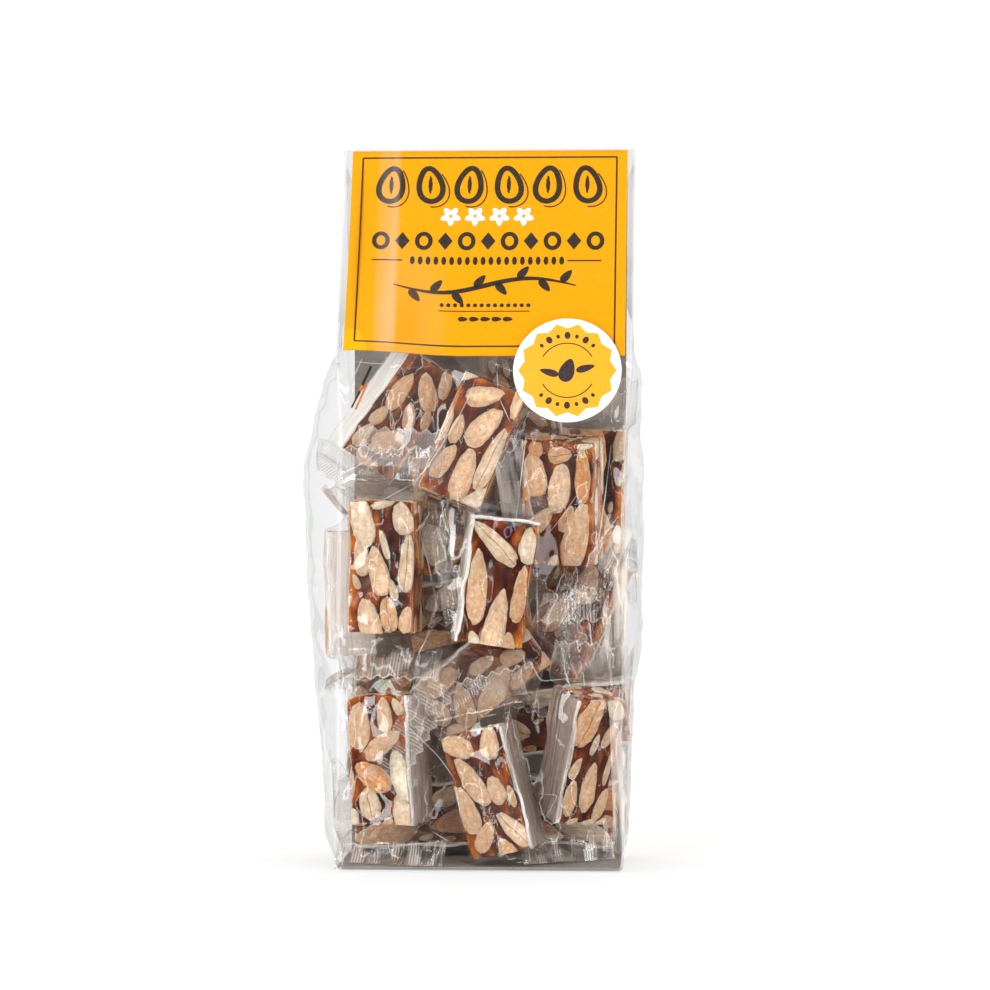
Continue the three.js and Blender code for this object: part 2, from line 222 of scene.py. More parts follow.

# Painted highlights along creases in the bag's front: half width, how white from 0 to 1, and points (x, z).
CREASE_HIGHLIGHTS = [
    (0.15, 0.6, [(-1, 138.4), (-3.1, 133), (-6, 127), (-9.5, 121.3), (-14, 114), (-18, 109), (-27, 104)]),
    (0.16, 0.6, [(-7.3, 113), (-6, 108), (-5.4, 101.4)]),
    (0.13, 0.6, [(13.5, 124), (12, 111), (10.7, 99)]),
    (0.13, 0.6, [(37.2, 119.6), (35.4, 104), (33.2, 89)]),
    (0.12, 0.45, [(28.5, 107), (23.5, 99.5), (18.1, 92.7)]),
    (0.14, 0.65, [(4.9, 140.5), (5.4, 133.4), (8.9, 125.9)]),
    (0.3, 0.35, [(-33, 144), (-39.5, 131)]),
    (0.12, 0.35, [(-37, 143.4), (-29, 142.6), (-22, 143)]),
    (0.08, 0.2, [(-22, 141.4), (-13, 142.1), (5, 141.6)]),
    (0.2, 0.2, [(16.4, 87), (16.8, 66)]),
    (0.9, 0.1, [(-6.1, 100.6), (-7.2, 92), (-10, 73.8)]),
    (0.16, 0.6, [(14.3, 59.5), (17.5, 53.4), (25, 54.1)]),
    (0.2, 0.2, [(-16.3, 95), (-13.8, 86.3), (-11.7, 75.6), (-14.6, 65)]),
    (0.12, 0.3, [(-10.9, 72.2), (-17.1, 60.3), (-18.3, 51)]),
    (0.1, 0.65, [(-20.4, 41.8), (-11.4, 32.7), (-6.6, 26), (-4, 9.6)]),
    (0.1, 0.55, [(-13.1, 20.7), (-6.6, 26)]),
    (0.1, 0.5, [(-12.7, 11.3), (-7.1, 7.8)]),
    (0.13, 0.6, [(0.4, 30.5), (7.5, 35.6), (8.9, 46)]),
    (0.12, 0.3, [(15.7, 22), (22.5, 21.6), (17.4, 12.7)]),
    (0.12, 0.3, [(16.8, 52.2), (15.3, 42)]),
]
GLARE_X = -26.7  # a pale band down the film over the label

WRAPPER_COLUMNS = 84  # of a wrapper's mesh over its front, and again over its back
WRAP_ROOM = 1.3  # how much wider than its block a wrapper is, on each side
SEAL_LENGTH = 8.5  # a wrapper's ribbed end
SEAL_TAPER = 6.0  # from the block's end to the ribs
RIB_DEPTH = 0.2
RIB_COLUMNS = 2  # of a wrapper's mesh to each rib
TOOTH_COLUMNS = 9  # and to each tooth
TOOTH_DEPTH = 1.5

# The studio's softboxes: name, place, width and height in metres, and power. All face the bag's middle.
SOFTBOXES = [
    ("key_left", (-0.62, -0.95, 0.42), (0.22, 0.9), 4.8),
    ("fill_right", (0.85, -0.7, 0.25), (0.22, 0.9), 2.3),
    ("strip_left", (-0.33, -1.2, 0.2), (0.04, 1.1), 0.8),
    ("strip_right", (0.42, -1.15, 0.2), (0.04, 1.1), 0.7),
    ("top", (0.0, -0.3, 1.15), (0.9, 0.5), 2.0),
    ("backdrop", (0.0, 1.1, 0.4), (2.4, 1.4), 8.5),
    ("flank_1", (-1.1, 0.1, 0.4), (1.3, 1.3), 4.6),
    ("flank_3", (1.1, 0.1, 0.4), (1.3, 1.3), 4.6),
]
BAG_MIDDLE = (0, 0, 0.1)
FLOOR_SIZE = 0.8  # half the floor's width, in metres
CAMERA_YAW = math.radians(3)
CAMERA_AIM = (0.0036, 0, 0.1056)
CAMERA_DISTANCE = 0.95
SENSOR = 36
LENS = SENSOR * 927 / (990 * 0.28)  # 927 mm from the lens, a millimetre is 1 / 0.28 of the frame's 990 pixels


# --- Numbers ------------------------------------------------------------------------------------


def at_height(pairs, z):
    heights, values = zip(*pairs)
    return np.interp(z, heights, values)


def smooth(low, high, value):
    share = np.clip((value - low) / (high - low), 0, 1)
    return share * share * (3 - 2 * share)


def ripples(points, pitch, seed, octaves=3):
    """Soft noise from about -1 to 1: sums of waves in seeded directions."""
    rng = np.random.default_rng(seed)
    total = np.zeros(points.shape[:-1])
    for octave in range(octaves):
        for _ in range(4):
            way = rng.normal(size=points.shape[-1])
            way *= 2**octave * 2 * math.pi / (pitch * np.linalg.norm(way))
            total += np.sin(points @ way + rng.uniform(0, 2 * math.pi)) / (3 * 1.8**octave)
    return total


def crumples(points, pitch, seed, count=6):
    """Flat facets that meet in sharp creases, from about -1 to 1, fading in and out."""
    rng = np.random.default_rng(seed)
    total = np.zeros(points.shape[:-1])
    for k in range(count):
        way = rng.normal(size=points.shape[-1])
        way /= np.linalg.norm(way) * pitch * rng.uniform(0.6, 1.8)
        bent = points @ way + rng.uniform() + 0.22 * ripples(points, 3.5 * pitch, seed + 31 * k, 1)
        wave = 2 * np.abs(2 * (bent % 1) - 1) - 1
        total += wave * smooth(-0.5, 0.7, ripples(points, 4 * pitch, seed + 57 * k, 2))
    return total / 2


def there_and_back(count, period):
    """From 1 down to 0 and up again over and over, for count columns."""
    return np.abs(2 * (np.arange(count) / period % 1) - 1)


def on_circle(angle):
    return np.stack([np.cos(angle), np.sin(angle)], -1)


def full_turn(count):
    return np.linspace(0, 2 * math.pi, count, endpoint=False)


def directions(line):
    """Unit steps along a line of flat points."""
    way = np.gradient(line, axis=0)
    return way / np.linalg.norm(way, axis=1, keepdims=True)


def leftward(way):
    """Flat steps turned to the left."""
    return np.stack([-way[..., 1], way[..., 0]], -1)


def lengths_along(line):
    """How far along a line each of its points is."""
    return np.concatenate([[0], np.cumsum(np.linalg.norm(np.diff(line, axis=0), axis=1))])


def sway(z):
    return SWAY * np.asarray(z) / CARD_TOP


# --- Meshes -------------------------------------------------------------------------------------


def strip_faces(rows, columns, closed=False):
    """Quads over a grid of points that is stored row by row."""
    across = columns if closed else columns - 1
    low, left = np.meshgrid(np.arange(rows - 1), np.arange(across), indexing="ij")
    right = (left + 1) % columns
    corners = (low * columns + left, low * columns + right)
    return np.stack([*corners, corners[1] + columns, corners[0] + columns], -1).reshape(-1, 4).tolist()


def tube_faces(rows, columns):
    """Quads over a grid that closes round on itself, with an end face at either end."""
    faces = strip_faces(rows, columns, closed=True)
    faces.append(list(range(columns))[::-1])
    faces.append(list(range((rows - 1) * columns, rows * columns)))
    return faces


def renumbered(faces, shift):
    return [[corner + shift for corner in face] for face in faces]


def new_mesh(name, points, faces):
    mesh = bpy.data.meshes.new(name)
    mesh.from_pydata((np.asarray(points).reshape(-1, 3) * MM).tolist(), [], faces)
    return mesh


def write_attribute(mesh, name, values):
    """Stores a number or a vector for each point."""
    values = np.asarray(values, np.float32)
    vector = values.ndim == 2
    attribute = mesh.attributes.new(name, "FLOAT_VECTOR" if vector else "FLOAT", "POINT")
    attribute.data.foreach_set("vector" if vector else "value", values.ravel())


def add_piece(name, mesh, materials, crease=None):
    """Puts a mesh on the part's one body. Edges sharper than crease, in degrees, show as edges."""
    for material in materials:
        mesh.materials.append(material)
    mesh.shade_smooth()
    if crease is not None:
        mesh.set_sharp_from_angle(angle=math.radians(crease))
    piece = bpy.data.objects.new(name, mesh)
    bpy.context.collection.objects.link(piece)
    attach(piece, "root")
    return piece


# --- Materials ----------------------------------------------------------------------------------


def colour(red, green, blue):
    """A screen colour from 0 to 255 as the shader's own linear colour."""
    channels = np.array([red, green, blue]) / 255
    linear = np.where(channels < 0.04045, channels / 12.92, ((channels + 0.055) / 1.055) ** 2.4)
    return (*linear.tolist(), 1.0)


class Shading:
    """One material's nodes."""

    def __init__(self, name):
        self.material = bpy.data.materials.new(name)
        self.material.use_nodes = True
        self.tree = self.material.node_tree
        self.tree.nodes.clear()
        self.output = self.tree.nodes.new("ShaderNodeOutputMaterial")

    def feed(self, socket, value):
        if isinstance(value, bpy.types.NodeSocket):
            self.tree.links.new(value, socket)
        else:
            socket.default_value = value

    def node(self, kind, inputs, output=0, **settings):
        """Adds a node, fills its inputs and gives back one of its outputs."""
        node = self.tree.nodes.new("ShaderNode" + kind)
        for key, value in settings.items():
            setattr(node, key, value)
        for key, value in inputs.items():
            self.feed(node.inputs[key], value)
        return node.outputs[output]

    def math(self, operation, *values):
        return self.node("Math", dict(enumerate(values)), operation=operation)

    def times(self, first, second):
        return self.math("MULTIPLY", first, second)

    def scaled(self, value, factor, offset):
        return self.math("MULTIPLY_ADD", value, factor, offset)

    def parts(self, vector):
        """A vector's three numbers."""
        return self.node("SeparateXYZ", {0: vector}).node.outputs

    def mix(self, share, first, second):
        return self.node("Mix", {0: share, 6: first, 7: second}, output=2, data_type="RGBA")

    def layered(self, body, *layers):
        """Lays tints over a colour, each as (where it lies, how strong it is, its screen colour)."""
        for share, strength, tint in layers:
            body = self.mix(self.times(share, strength), body, colour(*tint))
        return body

    def attribute(self, name, output="Vector"):
        return self.node("Attribute", {}, output=output, attribute_name=name)

    def place(self):
        return self.node("TexCoord", {}, output="Object")

    def noise(self, vector, scale, detail=3.0, roughness=0.55):
        inputs = {"Vector": vector, "Scale": scale, "Detail": detail, "Roughness": roughness}
        return self.node("TexNoise", inputs)

    def stretched(self, vector, scale):
        return self.node("Mapping", {"Vector": vector, "Scale": scale})

    def shifted(self, place, tone, reach):
        """Coordinates that differ from piece to piece with its tone. reach holds how far, for each axis."""
        offset = self.node("CombineXYZ", {axis: self.times(tone, far) for axis, far in reach.items()})
        return self.node("VectorMath", {0: place, 1: offset})

    def steps(self, value, low, high):
        """0 below low, 1 above high."""
        inputs = {"Value": value, "From Min": low, "From Max": high}
        return self.node("MapRange", inputs, interpolation_type="SMOOTHSTEP")

    def ramp(self, value, *stops):
        """A colour for each value, between stops of (value, screen colour)."""
        ramp = self.tree.nodes.new("ShaderNodeValToRGB")
        self.feed(ramp.inputs[0], value)
        for _ in stops[2:]:
            ramp.color_ramp.elements.new(0.5)
        for element, (place, tint) in zip(ramp.color_ramp.elements, stops):
            element.position = place
            element.color = colour(*tint)
        return ramp.outputs[0]

    def bump(self, height, distance, strength=1.0):
        inputs = {"Height": height, "Distance": distance * MM, "Strength": strength}
        return self.node("Bump", inputs)

    def principled(self, **inputs):
        named = {key.replace("_", " "): value for key, value in inputs.items()}
        self.finish(self.node("BsdfPrincipled", named))
        return self.material

    def finish(self, shader):
        self.tree.links.new(shader, self.output.inputs["Surface"])
        return self.material


def almond_material():
    """Roasted almond: cream to tan, rough, with long fibres and a split in some. A painted highlight makes
    a pale rim where it meets the block's face. Darker tan marks it in patches on its skin, and as painted
    shade near the edge of a cut. The coordinates run from -1 to 1 along each almond's own axes, rim from 0
    in a cut's middle to 1 elsewhere, and proud says how far a point stands out of the block."""
    s = Shading("almond")
    local = s.attribute("almond")
    tone = s.attribute("tone", "Fac")
    shifted = s.shifted(local, tone, {0: 31.0, 1: 17.0})
    blotch = s.steps(s.noise(s.stretched(shifted, (1.2, 1.7, 1.7)), 1.5, 4.0), 0.4, 0.68)
    fibre = s.noise(s.stretched(shifted, (1.8, 12.0, 12.0)), 1.0, 4.0, 0.62)
    grit = s.noise(s.place(), 1500.0, 3.0, 0.6)
    proud = s.scaled(s.noise(s.place(), 900.0), 0.5, s.attribute("proud", "Fac"))
    rim_shade_and_patches = s.scaled(s.noise(s.place(), 700.0), 0.3, s.attribute("rim", "Fac"))
    wander = s.scaled(s.noise(shifted, 2.2), 0.4, -0.2)
    split = s.steps(s.math("ABSOLUTE", s.math("ADD", s.parts(local)[1], wander)), 0.06, 0.0)
    split = s.times(split, s.steps(s.math("SINE", s.times(tone, 47.0)), 0.9, 0.97))
    body = s.mix(tone, colour(255, 244, 218), colour(240, 168, 92))
    body = s.mix(s.times(blotch, s.scaled(tone, 0.6, 0.16)), body, colour(228, 138, 62))
    body = s.layered(
        body,
        (s.steps(fibre, 0.54, 0.78), 0.4, (192, 122, 66)),
        (s.steps(fibre, 0.48, 0.28), 0.6, (255, 244, 216)),
        (s.steps(grit, 0.52, 0.66), 0.5, (255, 246, 226)),
        (s.steps(grit, 0.44, 0.32), 0.25, (186, 118, 64)),
        # Painted highlight: pale where the almond barely stands out of the block's face.
        (s.steps(proud, 0.8, 0.45), 0.6, (255, 240, 210)),
        (split, 0.55, (120, 66, 34)),
        # Tan patches on the skin, and painted shade near the edge of a cut.
        (s.steps(rim_shade_and_patches, 1.1, 1.2), 0.3, (160, 92, 44)),
    )
    height = s.math("ADD", s.times(fibre, 0.7), s.times(grit, 0.6))
    height = s.math("SUBTRACT", height, s.times(split, 0.8))
    return s.principled(
        Base_Color=body,
        Roughness=0.55,
        Normal=s.bump(height, 0.42),
        Subsurface_Weight=0.06,
        Subsurface_Scale=0.002,
    )


def caramel_material():
    """Dark cooked caramel, brown where it is deep and amber where light comes through near its edges."""
    s = Shading("caramel")
    place = s.attribute("place")
    across, _, along = s.parts(place)
    side = s.math("POWER", s.math("ABSOLUTE", across), 5.0)
    end = s.math("POWER", s.math("ABSOLUTE", along), 10.0)
    shifted = s.shifted(place, s.attribute("tone", "Fac"), {1: 40.0})
    streak = s.noise(s.stretched(shifted, (2.4, 2.4, 2.0)), 1.2, 3.0, 0.5)
    uneven = s.times(side, s.scaled(s.noise(s.place(), 160.0, 2.0), 1.9, -0.35))
    glow = s.math("ADD", s.times(uneven, 0.7), s.times(end, 0.25))
    body = s.ramp(
        s.math("ADD", s.scaled(streak, 1.9, -0.72), glow),
        (0.0, (52, 18, 10)),
        (0.32, (104, 40, 14)),
        (0.56, (162, 78, 18)),
        (0.8, (208, 118, 28)),
        (1.0, (234, 152, 44)),
    )
    specks = s.steps(s.noise(s.place(), 900.0, 1.0), 0.74, 0.8)
    return s.principled(
        Base_Color=s.layered(body, (specks, 0.7, (245, 210, 160))),
        Roughness=0.2,
        Specular_IOR_Level=0.35,
        Normal=s.bump(s.noise(s.place(), 420.0, 3.0), 0.18),
        Subsurface_Weight=0.1,
        Subsurface_Radius=(1.0, 0.35, 0.1),
        Subsurface_Scale=0.002,
    )


def wafer_material():
    """Off-white wafer paper with long creases and fibres, and stains where the caramel shows through. Its
    tone says how much painted shade darkens it behind its front edge."""
    s = Shading("wafer")
    place = s.attribute("place")
    tone = s.attribute("tone", "Fac")
    shifted = s.shifted(place, tone, {1: 40.0})
    streak = s.noise(s.stretched(shifted, (7.0, 8.0, 0.8)), 1.0, 6.0, 0.68)
    stain = s.steps(s.noise(s.stretched(shifted, (2.0, 2.0, 1.2)), 1.1, 4.0), 0.46, 0.7)
    fibres = s.noise(s.stretched(shifted, (20.0, 22.0, 2.0)), 1.6, 5.0, 0.7)
    behind = s.steps(s.scaled(streak, 1.2, s.parts(place)[1]), -0.6, -0.1)
    body = s.mix(s.steps(streak, 0.5, 0.76), colour(254, 251, 246), colour(208, 194, 180))
    body = s.layered(body, (stain, 0.3, (214, 184, 154)))
    # Painted shade: darker grey-brown behind the wafer's front edge, as much as the block's tone says.
    painted_shade = s.mix(s.steps(streak, 0.36, 0.7), colour(172, 146, 132), colour(102, 78, 68))
    body = s.mix(s.times(tone, behind), body, painted_shade)
    body = s.layered(body, (s.steps(fibres, 0.48, 0.66), 0.4, (250, 238, 226)))
    return s.principled(Base_Color=body, Roughness=0.75, Normal=s.bump(streak, 0.6))


def film_material(name, haze, mirror, wrinkle, clarity, milk):
    """Thin clear film. It mirrors more and lets less through where it is seen at a slant. Its creases,
    cut edges and folds are milky white, as painted highlights, and it has hazy patches of its own."""
    s = Shading(name)
    soft = s.noise(s.place(), wrinkle, 3.0, 0.6)
    fine = s.noise(s.place(), wrinkle * 5.0, 2.0, 0.5)
    normal = s.bump(s.math("ADD", soft, s.times(fine, 0.03)), 0.5, 0.5)
    slant = s.node("LayerWeight", {"Blend": 0.5, "Normal": normal}, output="Facing")
    slant = s.math("POWER", slant, 4.0)
    white = (255, 255, 255)
    sheen = s.ramp(
        s.noise(s.place(), 70.0, 2.0),
        (0.6, white),
        (0.63, (190, 255, 206)),
        (0.66, white),
        (0.69, (232, 186, 255)),
        (0.73, white),
    )
    clear = s.mix(slant, colour(clarity, clarity, clarity), colour(242, 243, 244))
    through = s.node("BsdfTransparent", {"Color": clear})
    gloss = s.node("BsdfGlossy", {"Color": sheen, "Roughness": 0.06, "Normal": normal})
    film = s.node("MixShader", {0: s.scaled(slant, 0.5, mirror), 1: through, 2: gloss})
    # Orange in the painted glare beside the label, where warm says.
    tint = s.mix(s.attribute("warm", "Fac"), colour(*milk), colour(255, 150, 70))
    milky = s.node("BsdfDiffuse", {"Color": tint, "Normal": normal})
    cloud = s.times(s.steps(soft, 0.54, 0.8), haze)
    veil = s.scaled(s.attribute("edge", "Fac"), 0.85, cloud)
    return s.finish(s.node("MixShader", {0: s.math("MINIMUM", veil, 0.9), 1: film, 2: milky}))


def printed_card_material():
    """The card's outside: golden yellow print with a satin varnish."""
    s = Shading("card_print")
    grain = s.noise(s.place(), 900.0, 4.0)
    body = s.mix(s.steps(grain, 0.3, 0.75), colour(252, 172, 0), colour(248, 166, 1))
    normal = s.bump(grain, 0.02)
    return s.principled(Base_Color=body, Roughness=0.45, Specular_IOR_Level=0.1, Normal=normal)


def card_inside_material():
    """The card's inside: grey board with fibres."""
    s = Shading("card_inside")
    fibres = s.noise(s.stretched(s.place(), (1.0, 1.0, 2.5)), 420.0, 5.0, 0.7)
    body = s.mix(s.steps(fibres, 0.3, 0.7), colour(152, 144, 138), colour(170, 162, 154))
    body = s.layered(body, (s.noise(s.place(), 60.0, 2.0), 0.4, (118, 108, 102)))
    return s.principled(Base_Color=body, Roughness=0.8, Normal=s.bump(fibres, 0.03))


def ink_material(name, tint, worn):
    """Printed ink, a little uneven, between two screen colours."""
    s = Shading(name)
    grain = s.steps(s.noise(s.place(), 1400.0, 3.0), 0.35, 0.7)
    body = s.mix(grain, colour(*tint), colour(*worn))
    return s.principled(Base_Color=body, Roughness=0.4, Normal=s.bump(grain, 0.01))


def sticker_material():
    s = Shading("sticker_paper")
    fibres = s.noise(s.place(), 1100.0, 4.0)
    body = s.mix(s.steps(fibres, 0.35, 0.7), colour(252, 252, 251), colour(244, 244, 242))
    return s.principled(Base_Color=body, Roughness=0.42, Normal=s.bump(fibres, 0.012))


def floor_material():
    """Pale and softly shaded, with a glow of its own that keeps it pale up to the horizon."""
    s = Shading("floor")
    grain = s.noise(s.place(), 8.0, 2.0)
    body = s.mix(s.steps(grain, 0.3, 0.7), (0.4, 0.4, 0.4, 1), (0.39, 0.39, 0.39, 1))
    matt = s.node("BsdfDiffuse", {"Color": body})
    glow = s.node("Emission", {"Color": (1, 1, 1, 1), "Strength": 0.53})
    return s.finish(s.node("AddShader", {0: matt, 1: glow}))


# --- The card -----------------------------------------------------------------------------------


def header_y(z):
    return HEADER_FOOT_Y + (z - HEADER_FOOT_Z) * HEADER_SLOPE


def back_y(z):
    bend = np.clip((z - BACK_BEND_Z) / (CARD_TOP - BACK_BEND_Z), 0, None)
    return BACK_Y - (BACK_Y - BACK_TOP_Y) * bend**2


def curl_forward(x, down):
    """How far the label panel has curled forward, down millimetres below the top fold."""
    return CURL * smooth(6, 38, -x) * (np.clip(down, 0, None) / HEADER_LENGTH) ** 2


def header_point(x, down, lift=0.0):
    """A point on the label panel's front, lift millimetres in front of its sheet's middle."""
    x, down = np.broadcast_arrays(np.asarray(x, float), np.asarray(down, float))
    slant = math.hypot(1, HEADER_SLOPE)
    curl = curl_forward(x, down)
    z = CARD_TOP - down / slant + curl * HEADER_SLOPE
    y = HEADER_TOP_Y - down * HEADER_SLOPE / slant - curl - lift * slant
    return np.stack([x + sway(z), y, z], -1)


def sheet_line():
    """The card's middle line from the base's front to the top fold, as (y, z) points."""
    bend_y = BACK_Y - FOLD_RADIUS
    turns = np.linspace(0, math.pi / 2, 7)
    line = [(BASE_FRONT + k * (bend_y - BASE_FRONT) / 8, BASE_Z) for k in range(8)]
    line += [(bend_y + math.sin(a) * FOLD_RADIUS, BASE_Z + FOLD_RADIUS * (1 - math.cos(a))) for a in turns]
    line += [(back_y(z), z) for z in np.linspace(8, CARD_TOP - 1.2, 50)]
    middle = (BACK_TOP_Y + HEADER_TOP_Y) / 2
    over = np.array([0.4, 1.2, 1.9, 2.7])
    line += list(zip(middle + 0.45 * np.cos(over), CARD_TOP - 0.9 + 0.65 * np.sin(over)))
    return np.array(line)


def make_card():
    """The folded sheet: base, back panel and label panel."""
    across = np.linspace(-1, 1, 41) * CARD_WIDTH / 2
    rows = [np.stack([across + sway(z), 0 * across + y, 0 * across + z], -1) for y, z in sheet_line()]
    rows += [header_point(across, down) for down in np.linspace(1.2, HEADER_LENGTH, 40)]
    middle = np.array(rows)
    normal = np.cross(np.array([1.0, 0, 0]), np.gradient(middle, axis=0))
    normal /= np.linalg.norm(normal, axis=-1, keepdims=True)
    inner, outer = middle + normal * SHEET_HALF, middle - normal * SHEET_HALF
    count, wide = middle.shape[:2]
    shift = count * wide
    faces = [quad[::-1] for quad in strip_faces(count, wide)]
    inside = len(faces)
    faces += [quad[::-1] for quad in renumbered(faces, shift)]
    rim = list(range(wide)) + [row * wide + wide - 1 for row in range(1, count)]
    rim += [(count - 1) * wide + k for k in range(wide - 2, -1, -1)]
    rim += [row * wide for row in range(count - 2, 0, -1)]
    faces += [[a, b, b + shift, a + shift] for a, b in zip(rim, rim[1:] + rim[:1])]
    mesh = new_mesh("card", np.concatenate([inner.reshape(-1, 3), outer.reshape(-1, 3)]), faces)
    materials = [card_inside_material(), printed_card_material()]
    card = add_piece("folded_card", mesh, materials, crease=50)
    printed = [k >= inside and face.center.z > 3 * MM for k, face in enumerate(mesh.polygons)]
    mesh.polygons.foreach_set("material_index", [int(yellow) for yellow in printed])
    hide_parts("card")


# --- Print: simple shapes, drawn flat and then laid on the label or the sticker -------------------


def ellipse(centre, half_wide, half_tall, turn=0.0, point=0.0, steps=28):
    """An oval, or an almond's outline where point is above 0. turn is in degrees, clockwise."""
    angle = full_turn(steps)
    u = np.cos(angle) * half_wide * (1 - point * np.sin(angle))
    v = np.sin(angle) * half_tall
    c, s = math.cos(math.radians(turn)), math.sin(math.radians(turn))
    return np.stack([centre[0] + u * c + v * s, centre[1] - u * s + v * c], -1)


def bar(start, end, thickness, steps=1):
    """A straight stroke, cut into steps so that it can follow a curved sheet."""
    start, end = np.array(start, float), np.array(end, float)
    aside = leftward((end - start) / np.linalg.norm(end - start)) * thickness / 2
    shares = np.linspace(0, 1, steps + 1)[:, None]
    line = start + (end - start) * shares
    return np.concatenate([line + aside, (line - aside)[::-1]])


def stroke(line, thickness):
    """A curved stroke that thins out towards its ends, as quads."""
    line = np.asarray(line, float)
    share = np.linspace(0, 1, len(line))[:, None]
    half = thickness / 2 * (0.25 + 0.75 * np.sin(math.pi * share))
    aside = leftward(directions(line)) * half
    left, right = line + aside, line - aside
    return [np.array([left[k], left[k + 1], right[k + 1], right[k]]) for k in range(len(line) - 1)]


def holds(shape, point):
    """Whether a point lies inside a closed shape."""
    (x0, y0), (x1, y1) = shape.T, np.roll(shape, -1, axis=0).T
    spans = (y0 > point[1]) != (y1 > point[1])
    meets = x0 + (point[1] - y0) * (x1 - x0) / np.where(spans, y1 - y0, 1)
    return bool(np.sum(spans & (meets > point[0])) % 2)


def shadow_line(shape, shift, thickness):
    """A thin line round a shape's shifted copy, only where it clears the shape itself."""
    wide = shape + (shape - shape.mean(axis=0)) * 0.12
    lines = outline(shape + np.array(shift), thickness)
    return [quad for quad in lines if not holds(wide, quad.mean(axis=0))]


def ring_arc(radius, start, end, thickness, steps=40):
    circle = on_circle(np.radians(np.linspace(start, end, steps + 1)))
    return np.concatenate([circle * (radius + thickness / 2), (circle * (radius - thickness / 2))[::-1]])


def outline(shape, thickness):
    """A closed line round a shape, as quads."""
    following = np.roll(shape, -1, axis=0)
    way = following - np.roll(shape, 1, axis=0)
    way /= np.linalg.norm(way, axis=1, keepdims=True)
    outer = shape - leftward(way) * thickness
    return [
        np.array([shape[k], shape[(k + 1) % len(shape)], outer[(k + 1) % len(shape)], outer[k]])
        for k in range(len(shape))
    ]


def lay_shapes(name, shapes, surface, material):
    """Lays flat shapes on a surface, as one thin piece. surface turns flat points into the bag's."""
    bm = bmesh.new()
    for shape in shapes:
        corners = [bm.verts.new(tuple(point * MM)) for point in surface(shape[:, 0], shape[:, 1])]
        bm.faces.new(corners)
    bmesh.ops.triangulate(bm, faces=bm.faces[:])
    mesh = bpy.data.meshes.new(name)
    bm.to_mesh(mesh)
    bm.free()
    return add_piece(name, mesh, [material])


def label_frame(half_wide, top, foot, thickness):
    corners = [(-half_wide, top), (half_wide, top), (half_wide, foot), (-half_wide, foot)]
    pairs = zip(corners, corners[1:] + corners[:1])
    return [bar(a, b, thickness, steps=24) for a, b in pairs]


def blossom(centre, size):
    """Five petals round a small gap."""
    shapes = []
    for k in range(5):
        turn = 72 * k
        reach = np.array([math.sin(math.radians(turn)), math.cos(math.radians(turn))]) * size * 0.56
        shapes.append(ellipse(np.array(centre) + reach, size * 0.3, size * 0.42, turn, 0.25, 18))
    return shapes


def branch(x0, x1, level, swing):
    """A wavy twig with leaves on both sides."""
    x = np.linspace(x0, x1, 60)
    y = level + swing * np.sin((x - x0) / (x1 - x0) * 2 * math.pi)
    shapes = stroke(np.stack([x, y], -1), 1.4)
    for k in range(6, 58, 7):
        up = -1 if (k // 7) % 2 else 1
        centre = (x[k] + 0.8, y[k] + up * 2.0)
        shapes.append(ellipse(centre, 1.1, 2.3, 50 * up * -1 + 90, 0.35, 18))
    return shapes


def almond_sign(centre, turn):
    """An almond drawn with a thick line, with its split and a thin shadow line."""
    rim = ellipse(centre, 2.5, 4.4, turn, -0.3, 40)
    split = np.array([[0.2 * math.sin(3 * v), 0.62 * v] for v in np.linspace(-4.4, 4.4, 9)])
    shadow = ellipse(centre, 4.1, 6.1, turn, -0.3, 40)
    return outline(rim, 1.6) + stroke(split + centre, 1.2) + shadow_line(shadow, (0.85, 0.7), 0.34)


def dark_label_shapes():
    """All of the label's dark print, in millimetres across and down from the top fold."""
    shapes = label_frame(36.7, 2.3, HEADER_LENGTH - 2.9, 0.45)
    for k in range(6):
        shapes += almond_sign(np.array([-28.2 + 11.3 * k, 10.8]), 9 if k % 2 else -9)
    for k in range(11):
        centre = (-30.6 + 6.15 * k, 28.3)
        if k % 2:
            shapes.append(ellipse(centre, 2.7, 2.1, 90, 0.0, 4))
        else:
            shapes += outline(ellipse(centre, 1.3, 1.6, 0, 0.0, 24), 1.25)
    shapes += [bar((-33, 34.4), (-24.3, 34.4), 0.4, 4), bar((23, 34.4), (32.6, 34.4), 0.4, 4)]
    shapes += [ellipse((-21.4 + 2.25 * k, 34.4), 0.7, 1.3, 0, 0.0, 10) for k in range(20)]
    shapes += branch(-26.5, 25.5, 42.0, 2.2)
    shapes += [ellipse((-12.6 + 1.9 * k, 48.0), 0.6, 0.6, 0, 0.0, 12) for k in range(14)]
    shapes += [bar((-13.5, 49.8), (12.5, 49.8), 0.25, 6)]
    shapes += [ellipse((-6.5 + 3.2 * k, 52.2), 0.7, 1.4, 90, 0.3, 16) for k in range(5)]
    return shapes


def make_label_print():
    dark = ink_material("dark_ink", (54, 44, 36), (66, 54, 44))
    white = ink_material("white_ink", (254, 254, 254), (247, 247, 245))
    on_label = lambda x, down: header_point(x, down, LABEL_PRINT)
    lay_shapes("label_print", dark_label_shapes(), on_label, dark)
    blossoms = [shape for k in range(4) for shape in blossom((-10.8 + 7.0 * k, 20.6), 3.1)]
    lay_shapes("label_blossoms", blossoms, on_label, white)


def back_point(x, z):
    """A point just behind the back panel."""
    return np.stack([x + sway(z), back_y(z) + LABEL_PRINT, z], -1)


def make_back_print():
    """The back panel's thin frame, a twig and a few dots."""
    dark = ink_material("back_ink", (54, 44, 36), (66, 54, 44))
    shapes = label_frame(36.7, 199, 6, 0.45) + branch(-26.5, 25.5, 176, 2.2)
    shapes += [ellipse((-12.6 + 1.9 * k, 168), 0.6, 0.6, 0, 0.0, 12) for k in range(14)]
    lay_shapes("back_print", shapes, back_point, dark)


